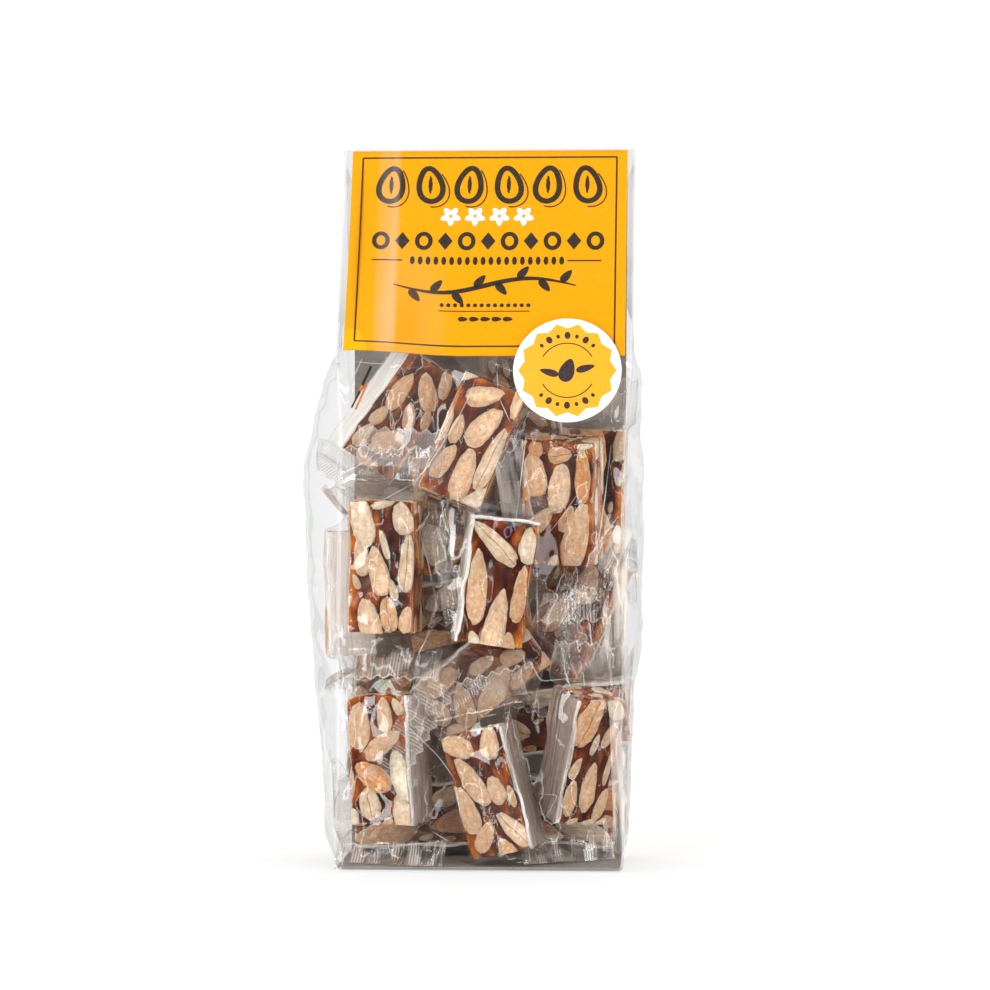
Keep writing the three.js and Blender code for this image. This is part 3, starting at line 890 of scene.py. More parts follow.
def make_painted_reflections():
    """Painted reflections: dark and orange slivers in the film's folds below the label's left end."""
    behind_film = lambda x, z: np.stack([x, front_at(x, z) + 2 * BEHIND_FILM, z], -1)
    # Painted reflections, drawn with the ink material: a dark one and an orange one.
    dark = ink_material("dark_reflection_paint", (48, 44, 44), (60, 56, 54))
    orange = ink_material("orange_reflection_paint", (232, 128, 40), (214, 112, 34))
    slivers = [bar((-30.6, 142), (-33.2, 136.7), 0.75, 4), bar((-34, 135), (-36.3, 130.3), 0.5, 4)]
    lay_shapes("painted_reflection_dark", slivers, behind_film, dark)
    # The painted orange reflections.
    slivers = [bar((-33.3, 136.5), (-33.9, 135.2), 0.85, 2), bar((-31.6, 137.6), (-35.2, 129.8), 0.6, 5)]
    lay_shapes("painted_reflection_orange", slivers, behind_film, orange)


def sticker_point(across, up, lift):
    """A point on the sticker's front, which follows the film in a slight curve."""
    x, up = np.broadcast_arrays(np.asarray(across, float), np.asarray(up, float))
    slant = math.hypot(1, STICKER_SLOPE)
    z = STICKER_CENTRE[2] + up / slant
    bow = 0.5 * (x / STICKER_RADIUS) ** 2
    y = STICKER_CENTRE[1] + (z - STICKER_CENTRE[2]) * STICKER_SLOPE - lift + bow
    return np.stack([STICKER_CENTRE[0] + x, y, z], -1)


def zigzag(outer, inner, teeth):
    radius = np.where(np.arange(2 * teeth) % 2, inner, outer)
    return on_circle(full_turn(2 * teeth)) * radius[:, None]


def ring_patches(shape, rings):
    """Fills an outline round the origin with patches small enough to follow a curved sheet."""
    shares = np.linspace(0, 1, rings + 1)
    following = np.roll(shape, -1, axis=0)
    patches = [np.array([[0, 0], a * shares[1], b * shares[1]]) for a, b in zip(shape, following)]
    for low, high in zip(shares[1:], shares[2:]):
        patches += [np.array([a * low, a * high, b * high, b * low]) for a, b in zip(shape, following)]
    return patches


def make_seal():
    """The sticker's own round of white paper."""
    rim = on_circle(full_turn(SEAL_SIDES)) * STICKER_RADIUS
    shares = np.linspace(0, 1, 14)[1:]
    rows = [sticker_point(*(rim * share).T, 0.12) for share in shares]
    rows += [sticker_point(*(rim * share).T, -0.1) for share in shares[::-1]]
    middles = [sticker_point([0.0], [0.0], lift) for lift in (0.12, -0.1)]
    faces = strip_faces(len(rows), SEAL_SIDES, closed=True)
    front, back = len(rows) * SEAL_SIDES, len(rows) * SEAL_SIDES + 1
    last = (len(rows) - 1) * SEAL_SIDES
    for k in range(SEAL_SIDES):
        following = (k + 1) % SEAL_SIDES
        faces += [[front, following, k], [back, last + k, last + following]]
    mesh = new_mesh("sticker", np.concatenate([*rows, *middles]), faces)
    seal = add_piece("seal_sticker", mesh, [sticker_material()], crease=50)
    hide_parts("sticker")


def seal_shapes():
    """Two arcs, dots and an almond with two leaves."""
    marks = [ring_arc(8.0, 30, 150, 0.3), ring_arc(8.0, 210, 330, 0.3)]
    for middle in (90, 270):
        for k in range(-3, 4):
            turn = math.radians(middle + 15 * k)
            size = 0.85 if k % 2 == 0 else 0.5
            marks.append(ellipse(on_circle(turn) * 10.3, size, size * 1.25, 90 - math.degrees(turn), 0.0, 16))
    marks.append(ellipse((0, 0), 2.1, 3.5, 18, 0.3, 36))
    marks += [ellipse((side * 5.1, side * 0.6), 1.0, 2.7, side * 74, 0.3, 24) for side in (-1, 1)]
    return marks


def dress_sticker():
    """The round seal: white paper, a yellow zigzag field and dark marks."""
    make_seal()
    yellow = ink_material("seal_yellow", (248, 174, 6), (244, 168, 10))
    dark = ink_material("seal_dark", (58, 40, 48), (70, 52, 56))
    field = lambda x, up: sticker_point(x, up, 0.17)
    above = lambda x, up: sticker_point(x, up, 0.21)
    lay_shapes("seal_field", ring_patches(zigzag(13.9, 12.4, 14), 8), field, yellow)
    lay_shapes("seal_marks", seal_shapes(), above, dark)


# --- Nougat blocks ------------------------------------------------------------------------------


def block_matrix(block):
    turned = Matrix.Identity(4)
    for angle, axis in ((block.lean, "Y"), (block.turn, "Z"), (block.pitch, "X")):
        turned = turned @ Matrix.Rotation(math.radians(angle), 4, axis)
    return Matrix.Translation(block.at) @ turned


BLOCK_MATRICES = [np.array(block_matrix(block)) for block in BLOCKS]


def into_bag(points, matrix):
    return points @ matrix[:3, :3].T + matrix[:3, 3]


def into_block(points, matrix):
    return (points - matrix[:3, 3]) @ matrix[:3, :3]


def rounded_ring(half_a, half_b, corner, count):
    """Evenly spaced points round a rectangle with rounded corners."""
    half = np.array([half_a, half_b])
    around = on_circle(full_turn(2880)) * half * 1.6
    core = np.clip(around, corner - half, half - corner)
    reach = around - core
    reach /= np.maximum(np.linalg.norm(reach, axis=1, keepdims=True), 1e-9)
    path = core + reach * corner
    closed = np.concatenate([path, path[:1]])
    along = lengths_along(closed)
    wanted = np.linspace(0, along[-1], count, endpoint=False)
    return np.stack([np.interp(wanted, along, closed[:, k]) for k in (0, 1)], -1)


def slab(half_a, half_b, half_h, corner, step):
    """A closed box with rounded edges: rings from the middle of one end, along the sides, to the other's."""
    count = int(4 * (half_a + half_b) / step) // 4 * 4
    ring = rounded_ring(half_a, half_b, corner, count)
    narrow = min(half_a, half_b)
    inner = [(share, half_h) for share in np.linspace(0.06, 1 - corner / narrow, max(3, int(narrow / step)))]
    end = inner + [(1 - 0.3 * corner / narrow, half_h - 0.3 * corner)]
    levels = np.linspace(-half_h + corner, half_h - corner, max(2, int(2 * half_h / step)))
    rows = [(share, -level) for share, level in end]
    rows += [(1, level) for level in levels]
    rows += end[::-1]
    points = np.array([np.column_stack([ring * share, np.full(count, level)]) for share, level in rows])
    return points.reshape(-1, 3), tube_faces(len(rows), count)


def half_size(block):
    return np.array([block.width, BLOCK_DEPTH, block.length]) / 2


def box_of(block):
    """The block's own lowest and highest corners without its wafers."""
    low, high = -half_size(block), half_size(block)
    for axis, side in block.wafers:
        (high if side > 0 else low)[axis] -= side * WAFER
    return low, high


def caramel_points(low, high, rng):
    """The block's caramel, with worn edges and slightly uneven cut faces."""
    half = (high - low) / 2
    points, faces = slab(*(half - (0, 0.12, 0.12)), 0.5, 1.25)
    seed = int(rng.integers(1e6))
    worn = ripples(points, 9.0, seed)[:, None]
    corner = np.clip(np.abs(points[:, 1:]) / half[1:], 0, 1).prod(axis=1)[:, None] ** 6
    points = points * (1 - 0.05 * corner * np.clip(worn + 0.4, 0, 1) * (0, 1, 0.6))
    uneven = 0.16 * ripples(points, 4.0, seed + 1)
    points[:, 1] -= (uneven + 0.1) * np.sign(points[:, 1])
    points[:, 2] += 1.2 * uneven
    return points + (low + high) / 2, faces


def wafer_points(half, axis, side, rng):
    """One wafer sheet on a block's left, right or upper side, wavy and lifting a little at its edges."""
    wide, tall = (half[1], half[2]) if axis == 0 else (half[0], half[1])
    points, faces = slab(wide + 0.15, tall + 0.2, WAFER / 2, 0.28, 1.0)
    seed = int(rng.integers(1e6))
    reach = np.maximum(np.abs(points[:, 0]) / wide, np.abs(points[:, 1]) / tall)
    wave = ripples(points[:, :2], 14.0, seed)
    points[:, :2] *= 1 + 0.022 * ripples(points[:, :2], 5.0, seed + 2)[:, None]
    points[:, 2] += 0.15 * wave + 0.5 * smooth(0.8, 1.05, reach) * np.clip(wave, -0.3, 1)
    points[:, 2] = side * (half[axis] - WAFER / 2 + points[:, 2])
    turned = points[:, [2, 0, 1]] if axis == 0 else points
    return turned, faces if side > 0 else [face[::-1] for face in faces]


def girth(along):
    """An almond's half width, for along from -1 at its blunt end to 1 at its tip."""
    return np.sqrt(np.clip(1 - np.abs(along) ** 2.3, 0, None)) * (1 - 0.22 * along)


def open_faces(block, skip_front):
    """The block's faces that no wafer covers, as (axis, side), and how large each is."""
    size = 2 * half_size(block)
    covered = [*block.wafers, *block.plain] + [(1, -1)] * skip_front
    faces = [(axis, side) for axis in (0, 1, 2) for side in (-1, 1) if (axis, side) not in covered]
    areas = np.array([size.prod() / size[axis] for axis, side in faces])
    return faces, areas / areas.sum()


def placed_almonds(block, rows):
    """Almonds at chosen places in the front face, in the form that draw_almonds gives."""
    front = box_of(block)[0][1]
    for x, z, lean, size, width, tone in rows:
        way = np.array([math.sin(math.radians(lean)), 0, math.cos(math.radians(lean))])
        yield np.array([x, front + 0.05 * width, z]), way, size, width, 0.75, tone


def drawn_almond(block, face, shortest, longest, rng):
    """One almond at a random place in a face."""
    low, high = box_of(block)
    axis, side = face
    size = rng.uniform(shortest, longest)
    width = min(size * rng.uniform(0.36, 0.5), 7.4)
    centre = rng.uniform(low, high)
    centre[axis] = (high if side > 0 else low)[axis] - side * rng.uniform(-0.12, 0.25) * width
    lean = math.radians(rng.normal(0, 24) if axis < 2 and rng.random() < 0.85 else rng.uniform(-90, 90))
    way = rng.choice((-1, 1)) * np.array([math.sin(lean), rng.normal(0, 0.14), math.cos(lean)])
    return centre, way / np.linalg.norm(way), size, width, rng.uniform(0.72, 0.9), rng.random()


def draw_almonds(block, rows, rng):
    """Chooses almonds that show in a block's open faces, the largest first, clear of each other."""
    low, high = box_of(block)
    faces, shares = open_faces(block, bool(rows))
    along = np.linspace(-0.92, 0.92, 7)
    chosen = list(placed_almonds(block, rows))
    spines = [at + u * way * size / 2 for at, way, size, *_ in chosen for u in along]
    spines = np.array(spines).reshape(-1, 3)
    radii = np.array([girth(u) * width / 2 for _, _, _, width, *_ in chosen for u in along])
    for tries, shortest, longest in ALMOND_SIZES:
        for _ in range(tries):
            almond = drawn_almond(block, faces[rng.choice(len(faces), p=shares)], shortest, longest, rng)
            centre, way, size, width = almond[:4]
            spine = centre + along[:, None] * way * size / 2
            radius = girth(along) * width / 2
            apart = np.linalg.norm(spines[:, None] - spine, axis=-1) - radii[:, None] - radius
            corners = [(high if side > 0 else low)[axis] for axis, side in block.wafers]
            off_wafers = [
                np.all(side * spine[:, axis] + 0.7 * radius < side * corner)
                for (axis, side), corner in zip(block.wafers, corners)
            ]
            if (len(chosen) and apart.min() < ALMOND_GAP) or not all(off_wafers):
                continue
            chosen.append(almond)
            spines = np.concatenate([spines, spine])
            radii = np.append(radii, radius)
    return chosen


def unit_almond(rings=15, sides=24):
    """An almond along X from -1 to 1, blunt at one end and pointed at the other."""
    along = -np.cos(np.linspace(0.12, math.pi - 0.12, rings))
    wheel = on_circle(full_turn(sides))
    rows = [np.column_stack([np.full(sides, u), girth(u) * wheel]) for u in along]
    return np.concatenate(rows), [face[::-1] for face in tube_faces(rings, sides)]


ALMOND_POINTS, ALMOND_FACES = unit_almond()


def almond_mesh(block, rows, rng):
    """All of a block's almonds, pressed low at its front and back and cut off flush with its sides."""
    points, faces, local, tones, proud = [], [], [], [], []
    for centre, way, size, width, flat, tone in draw_almonds(block, rows, rng):
        aside = np.cross(way, (0, 1, 0))
        aside /= np.linalg.norm(aside)
        axes = np.array([way * size / 2, aside * width / 2, np.cross(aside, way) * width / 2 * flat])
        seed = int(rng.integers(1e6))
        lumps = 0.06 * ripples(ALMOND_POINTS, 1.5, seed) + 0.05 * ripples(ALMOND_POINTS, 0.5, seed + 1)
        shift = len(points) * len(ALMOND_POINTS)
        faces += renumbered(ALMOND_FACES, shift)
        round_points = ALMOND_POINTS * (1 + lumps[:, None]) @ axes + centre
        points.append(press_flat(round_points, *box_of(block)))
        proud.append(how_proud(round_points, *box_of(block)))
        local.append(ALMOND_POINTS)
        tones.append(np.full(len(ALMOND_POINTS), tone))
    mesh = new_mesh("almonds", np.concatenate(points), faces)
    write_attribute(mesh, "almond", np.concatenate(local))
    write_attribute(mesh, "tone", np.concatenate(tones))
    write_attribute(mesh, "proud", np.concatenate(proud))
    write_attribute(mesh, "rim", np.ones(len(mesh.vertices)))
    bm = bmesh.new()
    bm.from_mesh(mesh)
    bpy.data.meshes.remove(mesh)
    low, high = box_of(block)
    for axis, above in ((0, 0.03), (2, 0.06)):
        for side, corner in ((-1, low), (1, high)):
            normal = Vector([side * (k == axis) for k in range(3)])
            cut_flush(bm, normal * (side * corner[axis] + above) * MM, normal)
    return bm


def how_proud(points, low, high):
    """How far points stand out of a block's front or back, in millimetres, or 1 past its other sides."""
    beyond = np.abs(points - np.clip(points, low, high))
    past = np.any(beyond[:, ::2] > 0, axis=1)
    return np.maximum(beyond[:, 1], past)


def press_flat(points, low, high):
    """Leaves what stands out of a block's front and back as low domes."""
    pressed = points.copy()
    beyond = points[:, 1] - np.clip(points[:, 1], low[1], high[1])
    pressed[:, 1] -= (1 - ALMOND_DOME) * beyond
    return pressed


def cut_flush(bm, point, normal):
    """Cuts off what lies beyond a plane, and closes each cut with a slightly domed fan of faces."""
    rim = bm.verts.layers.float["rim"]
    everything = bm.verts[:] + bm.edges[:] + bm.faces[:]
    cut = bmesh.ops.bisect_plane(bm, geom=everything, plane_co=point, plane_no=normal, clear_outer=True)
    edges = [item for item in cut["geom_cut"] if isinstance(item, bmesh.types.BMEdge)]
    if edges:
        filled = bmesh.ops.edgeloop_fill(bm, edges=edges)
        fans = bmesh.ops.poke(bm, faces=filled["faces"])
        for vert in fans["verts"]:
            vert[rim] = 0
            vert.co += normal * 0.16 * MM


def join_form(bm, points, faces, material, tone, half):
    """Adds a closed form of the block to its mesh, with its material."""
    place, shade = bm.verts.layers.float_vector["place"], bm.verts.layers.float["tone"]
    corners = [bm.verts.new(tuple(point * MM)) for point in points]
    for vert, share in zip(corners, points / half):
        vert[place] = share
        vert[shade] = tone
    for face in faces:
        bm.faces.new([corners[k] for k in face]).material_index = material


def make_block(index, block, materials):
    """One nougat block: caramel, almonds and wafers, slightly out of square."""
    rng = np.random.default_rng(100 + index)
    half = half_size(block)
    bm = almond_mesh(block, FRONT_ALMONDS.get(index, []), rng)
    bm.verts.layers.float_vector.new("place")
    for face in bm.faces:
        face.material_index = 1
    tone = rng.random()
    join_form(bm, *caramel_points(*box_of(block), rng), 0, tone, half)
    for axis, side in block.wafers:
        join_form(bm, *wafer_points(half, axis, side, rng), 2, block.brown, half)
    mesh = bpy.data.meshes.new(f"nougat_block_{index + 1:02d}")
    bm.to_mesh(mesh)
    bm.free()
    points = np.zeros(len(mesh.vertices) * 3)
    mesh.vertices.foreach_get("co", points)
    points = points.reshape(-1, 3) / MM
    bow = [ripples(points, 30.0, 900 + 3 * index + axis, 1) for axis in range(3)]
    placed = into_bag(points + 0.45 * np.stack(bow, -1), BLOCK_MATRICES[index])
    mesh.vertices.foreach_set("co", (placed * MM).ravel())
    return add_piece(mesh.name, mesh, materials, crease=50)


# --- The bag's film -----------------------------------------------------------------------------


def block_fronts(x, z):
    """The lowest y at which a line along Y through each (x, z) meets a wrapped block."""
    start = np.stack([x, np.full_like(x, -100.0), z], -1)
    fronts = np.full_like(x, np.inf)
    for block, matrix in zip(BLOCKS, BLOCK_MATRICES):
        half = half_size(block)
        origin, way = into_block(start, matrix), matrix[1, :3]
        way = np.where(np.abs(way) < 1e-6, 1e-6, way)
        near = np.minimum((-half - origin) / way, (half - origin) / way).max(axis=-1)
        far = np.maximum((-half - origin) / way, (half - origin) / way).min(axis=-1)
        fronts = np.where(near < far, np.minimum(fronts, near - 100 - WRAP_SLACK), fronts)
    return fronts


def over_label(x, z):
    """Where the film lies in front of the label panel."""
    down = (CARD_TOP - z) * math.hypot(1, HEADER_SLOPE)
    return header_y(z) - curl_forward(x - sway(z), down) - LABEL_ROOM


def corner_y(z):
    below = at_height([*CORNER_Y, [HEADER_FOOT_Z, HEADER_FOOT_Y - LABEL_ROOM]], z)
    return np.where(z < HEADER_FOOT_Z, below, over_label(60, z))


def sticker_room(x, z):
    away = np.hypot(x - STICKER_CENTRE[0], z - STICKER_CENTRE[2])
    back = STICKER_CENTRE[1] + STICKER_SLOPE * (z - STICKER_CENTRE[2])
    return np.where(away < STICKER_RADIUS + 2.5, back + 0.35, -np.inf)


def film_grid(columns, rows):
    z = np.linspace(FILM_FOOT, FILM_TOP, rows + 1)
    half = at_height(CORNER_HALF, z)
    x = sway(z)[:, None] + half[:, None] * np.linspace(-1, 1, columns + 1)
    return x, np.repeat(z[:, None], columns + 1, 1)


def finer(values, shape):
    """The same field on a finer grid."""
    rows = np.linspace(0, 1, values.shape[0])
    columns = np.linspace(0, 1, values.shape[1])
    wide = np.array([np.interp(np.linspace(0, 1, shape[1]), columns, row) for row in values])
    return np.array([np.interp(np.linspace(0, 1, shape[0]), rows, column) for column in wide.T]).T


def relax(y, wall, limit, fixed, sink, rounds):
    """Pulls a sheet taut in front of a wall, round by round, and lets it sink in between."""
    parity = np.add.outer(np.arange(y.shape[0]), np.arange(y.shape[1])) % 2
    for _ in range(rounds):
        for half in (0, 1):
            mean = y.copy()
            mean[1:-1, 1:-1] = (y[:-2, 1:-1] + y[2:, 1:-1] + y[1:-1, :-2] + y[1:-1, 2:]) / 4
            pulled = np.maximum(np.minimum(y + FILM_EASE * (mean + sink - y), wall), limit)
            y = np.where((parity == half) & ~fixed, pulled, y)
    return y


def pulled_front():
    """The front film's x, y and z on a fine grid."""
    y = None
    for columns, rows, rounds in FILM_LEVELS:
        x, z = film_grid(columns, rows)
        edge = corner_y(z)
        edge[0, 1:-1] -= 0.6
        y = edge if y is None else finer(y, x.shape)
        label = np.where(z > HEADER_FOOT_Z - 2.5, over_label(x, np.maximum(z, HEADER_FOOT_Z)), np.inf)
        wall = np.minimum(block_fronts(x, z), label)
        fixed = z >= HEADER_FOOT_Z
        fixed[[0, -1]] = True
        fixed[:, [0, -1]] = True
        y = np.where(fixed, np.minimum(edge, label), y)
        sink = FILM_CURVE * (x[0, 1] - x[0, 0]) * (z[1, 0] - z[0, 0]) / 4
        y = relax(y, wall, sticker_room(x, z), fixed, sink, rounds)
    return x, y, z, wall


FRONT_X, FRONT_Y, FRONT_Z, FRONT_WALL = pulled_front()


def front_at(x, z, sheet=FRONT_Y):
    """The front film's y at any place, between its grid's points."""
    rows, columns = sheet.shape
    half = at_height(CORNER_HALF, z)
    u = np.clip(((x - sway(z)) / half + 1) / 2 * (columns - 1), 0, columns - 1.001)
    v = np.clip((z - FILM_FOOT) / (FILM_TOP - FILM_FOOT) * (rows - 1), 0, rows - 1.001)
    i, j = u.astype(int), v.astype(int)
    a, b = u - i, v - j
    low = sheet[j, i] * (1 - a) + sheet[j, i + 1] * a
    high = sheet[j + 1, i] * (1 - a) + sheet[j + 1, i + 1] * a
    return low * (1 - b) + high * b


def wrinkled_front():
    """The front film with its creases, which stay off the blocks, the card and the sticker."""
    flat = np.stack([FRONT_X, FRONT_Z], -1)
    share = np.linspace(0, 1, FRONT_X.shape[1])
    over = smooth(HEADER_FOOT_Z - 6, HEADER_FOOT_Z + 2, FRONT_Z)
    calm = (1 - 0.8 * over) * smooth(0, 0.06, share) * smooth(0, 0.06, 1 - share)
    calm = calm * smooth(0, 6, FRONT_Z) * smooth(CARD_TOP, CARD_TOP - 6, FRONT_Z)
    crease = 0.55 * crumples(flat, 15.0, 5) + 0.22 * crumples(flat * (1, 0.6), 6.0, 9)
    glare = np.exp(-(((FRONT_X - GLARE_X) / 3.2) ** 2))
    pleat = 0.4 * glare * over * smooth(CARD_TOP, CARD_TOP - 8, FRONT_Z)
    y = np.minimum(FRONT_Y + crease * calm, FRONT_WALL + 0.35) - pleat
    return np.maximum(y, sticker_room(FRONT_X, FRONT_Z) - 0.05)


def gusset(front, back, reach, side):
    """One side of the bag between its front and back edges, bulging out below and tucked in above."""
    share = np.linspace(0, 1, GUSSET_STEPS + 1)[1:-1]
    z = front[:, 2]
    line = front[:, None] + (back - front)[:, None] * share[:, None]
    tuck = 5.0 * smooth(150, 172, z) * smooth(CARD_TOP + 1, CARD_TOP - 18, z)
    out = reach[:, None] * np.sin(math.pi * share) - tuck[:, None] * (1 - np.abs(2 * share - 1))
    places = np.stack(np.broadcast_arrays(share * BAG_DEPTH, z[:, None]), -1)
    folds = crumples(places, 17.0, 21 + side) * 0.6 + crumples(places, 6.5, 44 + side) * 0.25
    calm = 4 * share * (1 - share) * (smooth(0, 8, z) * smooth(160, 140, z))[:, None]
    line[..., 0] += side * (out + np.minimum(folds * calm, 0.4))
    return line


def crease_strip(line, half_wide, sheet):
    """A narrow strip along a line on the bag's front, as rows of left and right points."""
    line = np.array(line, float)
    along = lengths_along(line)
    places = np.linspace(0, along[-1], int(along[-1] / 1.2) + 3)
    path = np.stack([np.interp(places, along, line[:, k]) for k in (0, 1)], -1)
    path[1:-1] = (path[:-2] + 2 * path[1:-1] + path[2:]) / 4
    half = half_wide * (0.3 + 0.7 * np.sin(math.pi * places / along[-1]))[:, None]
    aside = leftward(directions(path)) * half
    sides = np.stack([path + aside, path - aside], axis=1)
    x, z = sides[..., 0], sides[..., 1]
    return np.stack([x, front_at(x, z, sheet) - 0.08, z], -1)


def label_glare():
    """How white and how warm the front film is: a painted glare in the pale band over the label, and
    painted orange glare beside it.
    """
    over = smooth(HEADER_FOOT_Z - 3, HEADER_FOOT_Z + 6, FRONT_Z)
    lower = smooth(CARD_TOP, HEADER_FOOT_Z, FRONT_Z)
    x = FRONT_X - GLARE_X
    band = smooth(-4.5, -0.8, x) * smooth(3.2, 2.4, x)
    line = np.exp(-(((x - 1.4) / 0.6) ** 2))
    tail = smooth(2.2, 3.2, x) * smooth(19, 6, x) * smooth(0.35, 1, lower)
    streaks = 1 + 0.25 * ripples(np.stack([FRONT_X, FRONT_Z * 0.04], -1), 3.0, 77)
    white = (0.1 * band + 0.06 * line) * (0.6 + 0.5 * lower) * streaks
    return (1.3 * white + 0.12 * tail * streaks) * over, tail * over


def bag_rings(front):
    """The front film's rows of points, closed round the bag: a gusset, the back and the other gusset."""
    z = FRONT_Z[:, 0]
    left, right = front[:, 0], front[:, -1]
    back_edge = np.maximum(back_y(z) + BOARD / 2 + 0.2, left[:, 1] + 1.2)
    rear_left = np.column_stack([left[:, 0], back_edge, z])
    rear_right = np.column_stack([right[:, 0], back_edge, z])
    share = np.linspace(0, 1, BACK_STEPS + 1)[:, None]
    rear = rear_right[:, None] + (rear_left - rear_right)[:, None] * share
    rear[..., 1] += 0.12 * crumples(rear[..., ::2], 18.0, 71) * smooth(0, 10, z)[:, None]
    right_side = gusset(right, rear_right, at_height(RIGHT_BULGE, z), 1)
    left_side = gusset(left, rear_left, at_height(LEFT_BULGE, z), -1)[:, ::-1]
    return np.concatenate([front, right_side, rear, left_side], axis=1)


def bag_whiteness(rows, count):
    """How white and how warm each point of the bag is: its painted glare, painted highlights along its
    corner edges and ends, and its milky back seam.
    """
    edge, warm = np.zeros((2, rows, count))
    wide = FRONT_X.shape[1]
    back = wide - 1 + GUSSET_STEPS
    edge[:, :wide], warm[:, :wide] = label_glare()
    # Painted highlights along the corner edges and the ends. The back seam is milky.
    edge[:, [0, wide - 1, back, back + BACK_STEPS]] = 0.3
    edge[:, back + BACK_SEAM[0] : back + BACK_SEAM[1]] = 0.08
    edge[[0, -1]] = 0.6
    return edge.ravel(), warm.ravel()


def make_film():
    """The closed bag, and the painted highlights along creases in its front."""
    front = np.stack([FRONT_X, wrinkled_front(), FRONT_Z], -1)
    rings = bag_rings(front)
    rows, count = rings.shape[:2]
    faces = tube_faces(rows, count)
    edge, warm = bag_whiteness(rows, count)
    points, white = [rings.reshape(-1, 3)], [edge]
    for half_wide, shine, line in CREASE_HIGHLIGHTS:
        strip = crease_strip(line, half_wide, front[..., 1])
        faces += renumbered(strip_faces(len(strip), 2), sum(len(part) for part in points))
        points.append(strip.reshape(-1, 3))
        fade = np.clip(0.7 + 0.5 * ripples(strip, 9.0, 61), 0.25, 1)
        white.append((shine * fade).ravel())
    mesh = new_mesh("film", np.concatenate(points), faces)
    white = np.concatenate(white)
    write_attribute(mesh, "edge", white)
    write_attribute(mesh, "warm", np.append(warm, np.zeros(len(white) - len(warm))))
    clear = film_material("bag_film", 0.012, 0.05, 60.0, 250, (247, 247, 248))
    film = add_piece("bag_film", mesh, [clear], crease=38)
    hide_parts("bag")


# --- Wrappers -----------------------------------------------------------------------------------


def bent(points, start, bend, turn_length=5.0):
    """Bends what lies beyond start along +Z forward, towards -Y, by bend radians."""
    if abs(bend) < 1e-3:
        return points
    beyond = np.clip(points[:, 2] - start, 0, None)
    straight = np.clip(beyond - turn_length, 0, None)
    curve = bend / turn_length
    turned = np.minimum(beyond, turn_length) * curve
    y = -(1 - np.cos(turned)) / curve - np.sin(turned) * straight
    z = start + np.sin(turned) / curve + np.cos(turned) * straight
    keep = beyond <= 0
    moved = points.copy()
    moved[:, 1] = np.where(keep, points[:, 1], y + points[:, 1] * np.cos(turned))
    moved[:, 2] = np.where(keep, points[:, 2], z + points[:, 1] * np.sin(turned))
    return moved


def wrapper_levels(half_long):
    """Heights along a wrapper, from its block's middle: close together at its ribbed ends."""
    body = np.linspace(-1, 1, 19) * (half_long - 0.2)
    taper = np.linspace(0, 1, 9)[1:] * SEAL_TAPER
    seal = np.append(np.linspace(0, 1, 6)[1:] * SEAL_LENGTH - 0.35, SEAL_LENGTH)
    reach = half_long + np.concatenate([taper, SEAL_TAPER + seal])
    return np.concatenate([-reach[::-1], body, reach])


def sleeve(block, along, past, pressed):
    """A wrapper's rings: snug on its block, and pressed flat, ribbed and toothed past both ends."""
    half_flat = (block.width + BLOCK_DEPTH) / 2 + WRAP_ROOM
    flat = np.linspace(-1, 1, WRAPPER_COLUMNS) * half_flat
    depth = (BLOCK_DEPTH / 2 + 0.6) * (1 - smooth(0, SEAL_TAPER, past)) + 0.08
    beyond = (np.abs(flat)[None] - (half_flat - depth)[:, None]) / 0.8
    over = 0.8 * np.logaddexp(0, beyond)
    x = np.sign(flat) * (np.abs(flat) - np.minimum(over, np.abs(flat)))
    y = np.minimum(-depth[:, None] + over, -0.04)
    ribs = RIB_DEPTH * (2 * there_and_back(WRAPPER_COLUMNS, RIB_COLUMNS) - 1) * pressed
    cut = (past > SEAL_TAPER + SEAL_LENGTH - 0.5)[:, None]
    teeth = TOOTH_DEPTH * there_and_back(WRAPPER_COLUMNS, TOOTH_COLUMNS) * cut
    z = along[:, None] + np.sign(along)[:, None] * teeth + 0 * x
    front = np.stack([x, y + ribs, z], -1)
    rear = np.stack([x, -y + ribs, z], -1)[:, ::-1]
    return np.concatenate([front, rear], axis=1)


def crumpled_sleeve(rings, past, pressed, seed):
    """Puffs a wrapper's rings out and in between its ends, and lets the ends wave."""
    puff = 0.4 * crumples(rings * (1, 1, 0.7), 9.0, seed) + 0.2 * ripples(rings, 12.0, seed + 3)
    away = rings * (1, 1, 0)
    away /= np.maximum(np.linalg.norm(away, axis=-1, keepdims=True), 1e-6)
    rings = rings + away * np.clip(puff, -0.3, 0.6)[..., None] * (1 - pressed)[..., None]
    rings[..., 1] += 0.9 * ripples(rings[..., ::2], 22.0, seed + 5, 2) * smooth(0, 10, past)[:, None]
    return rings


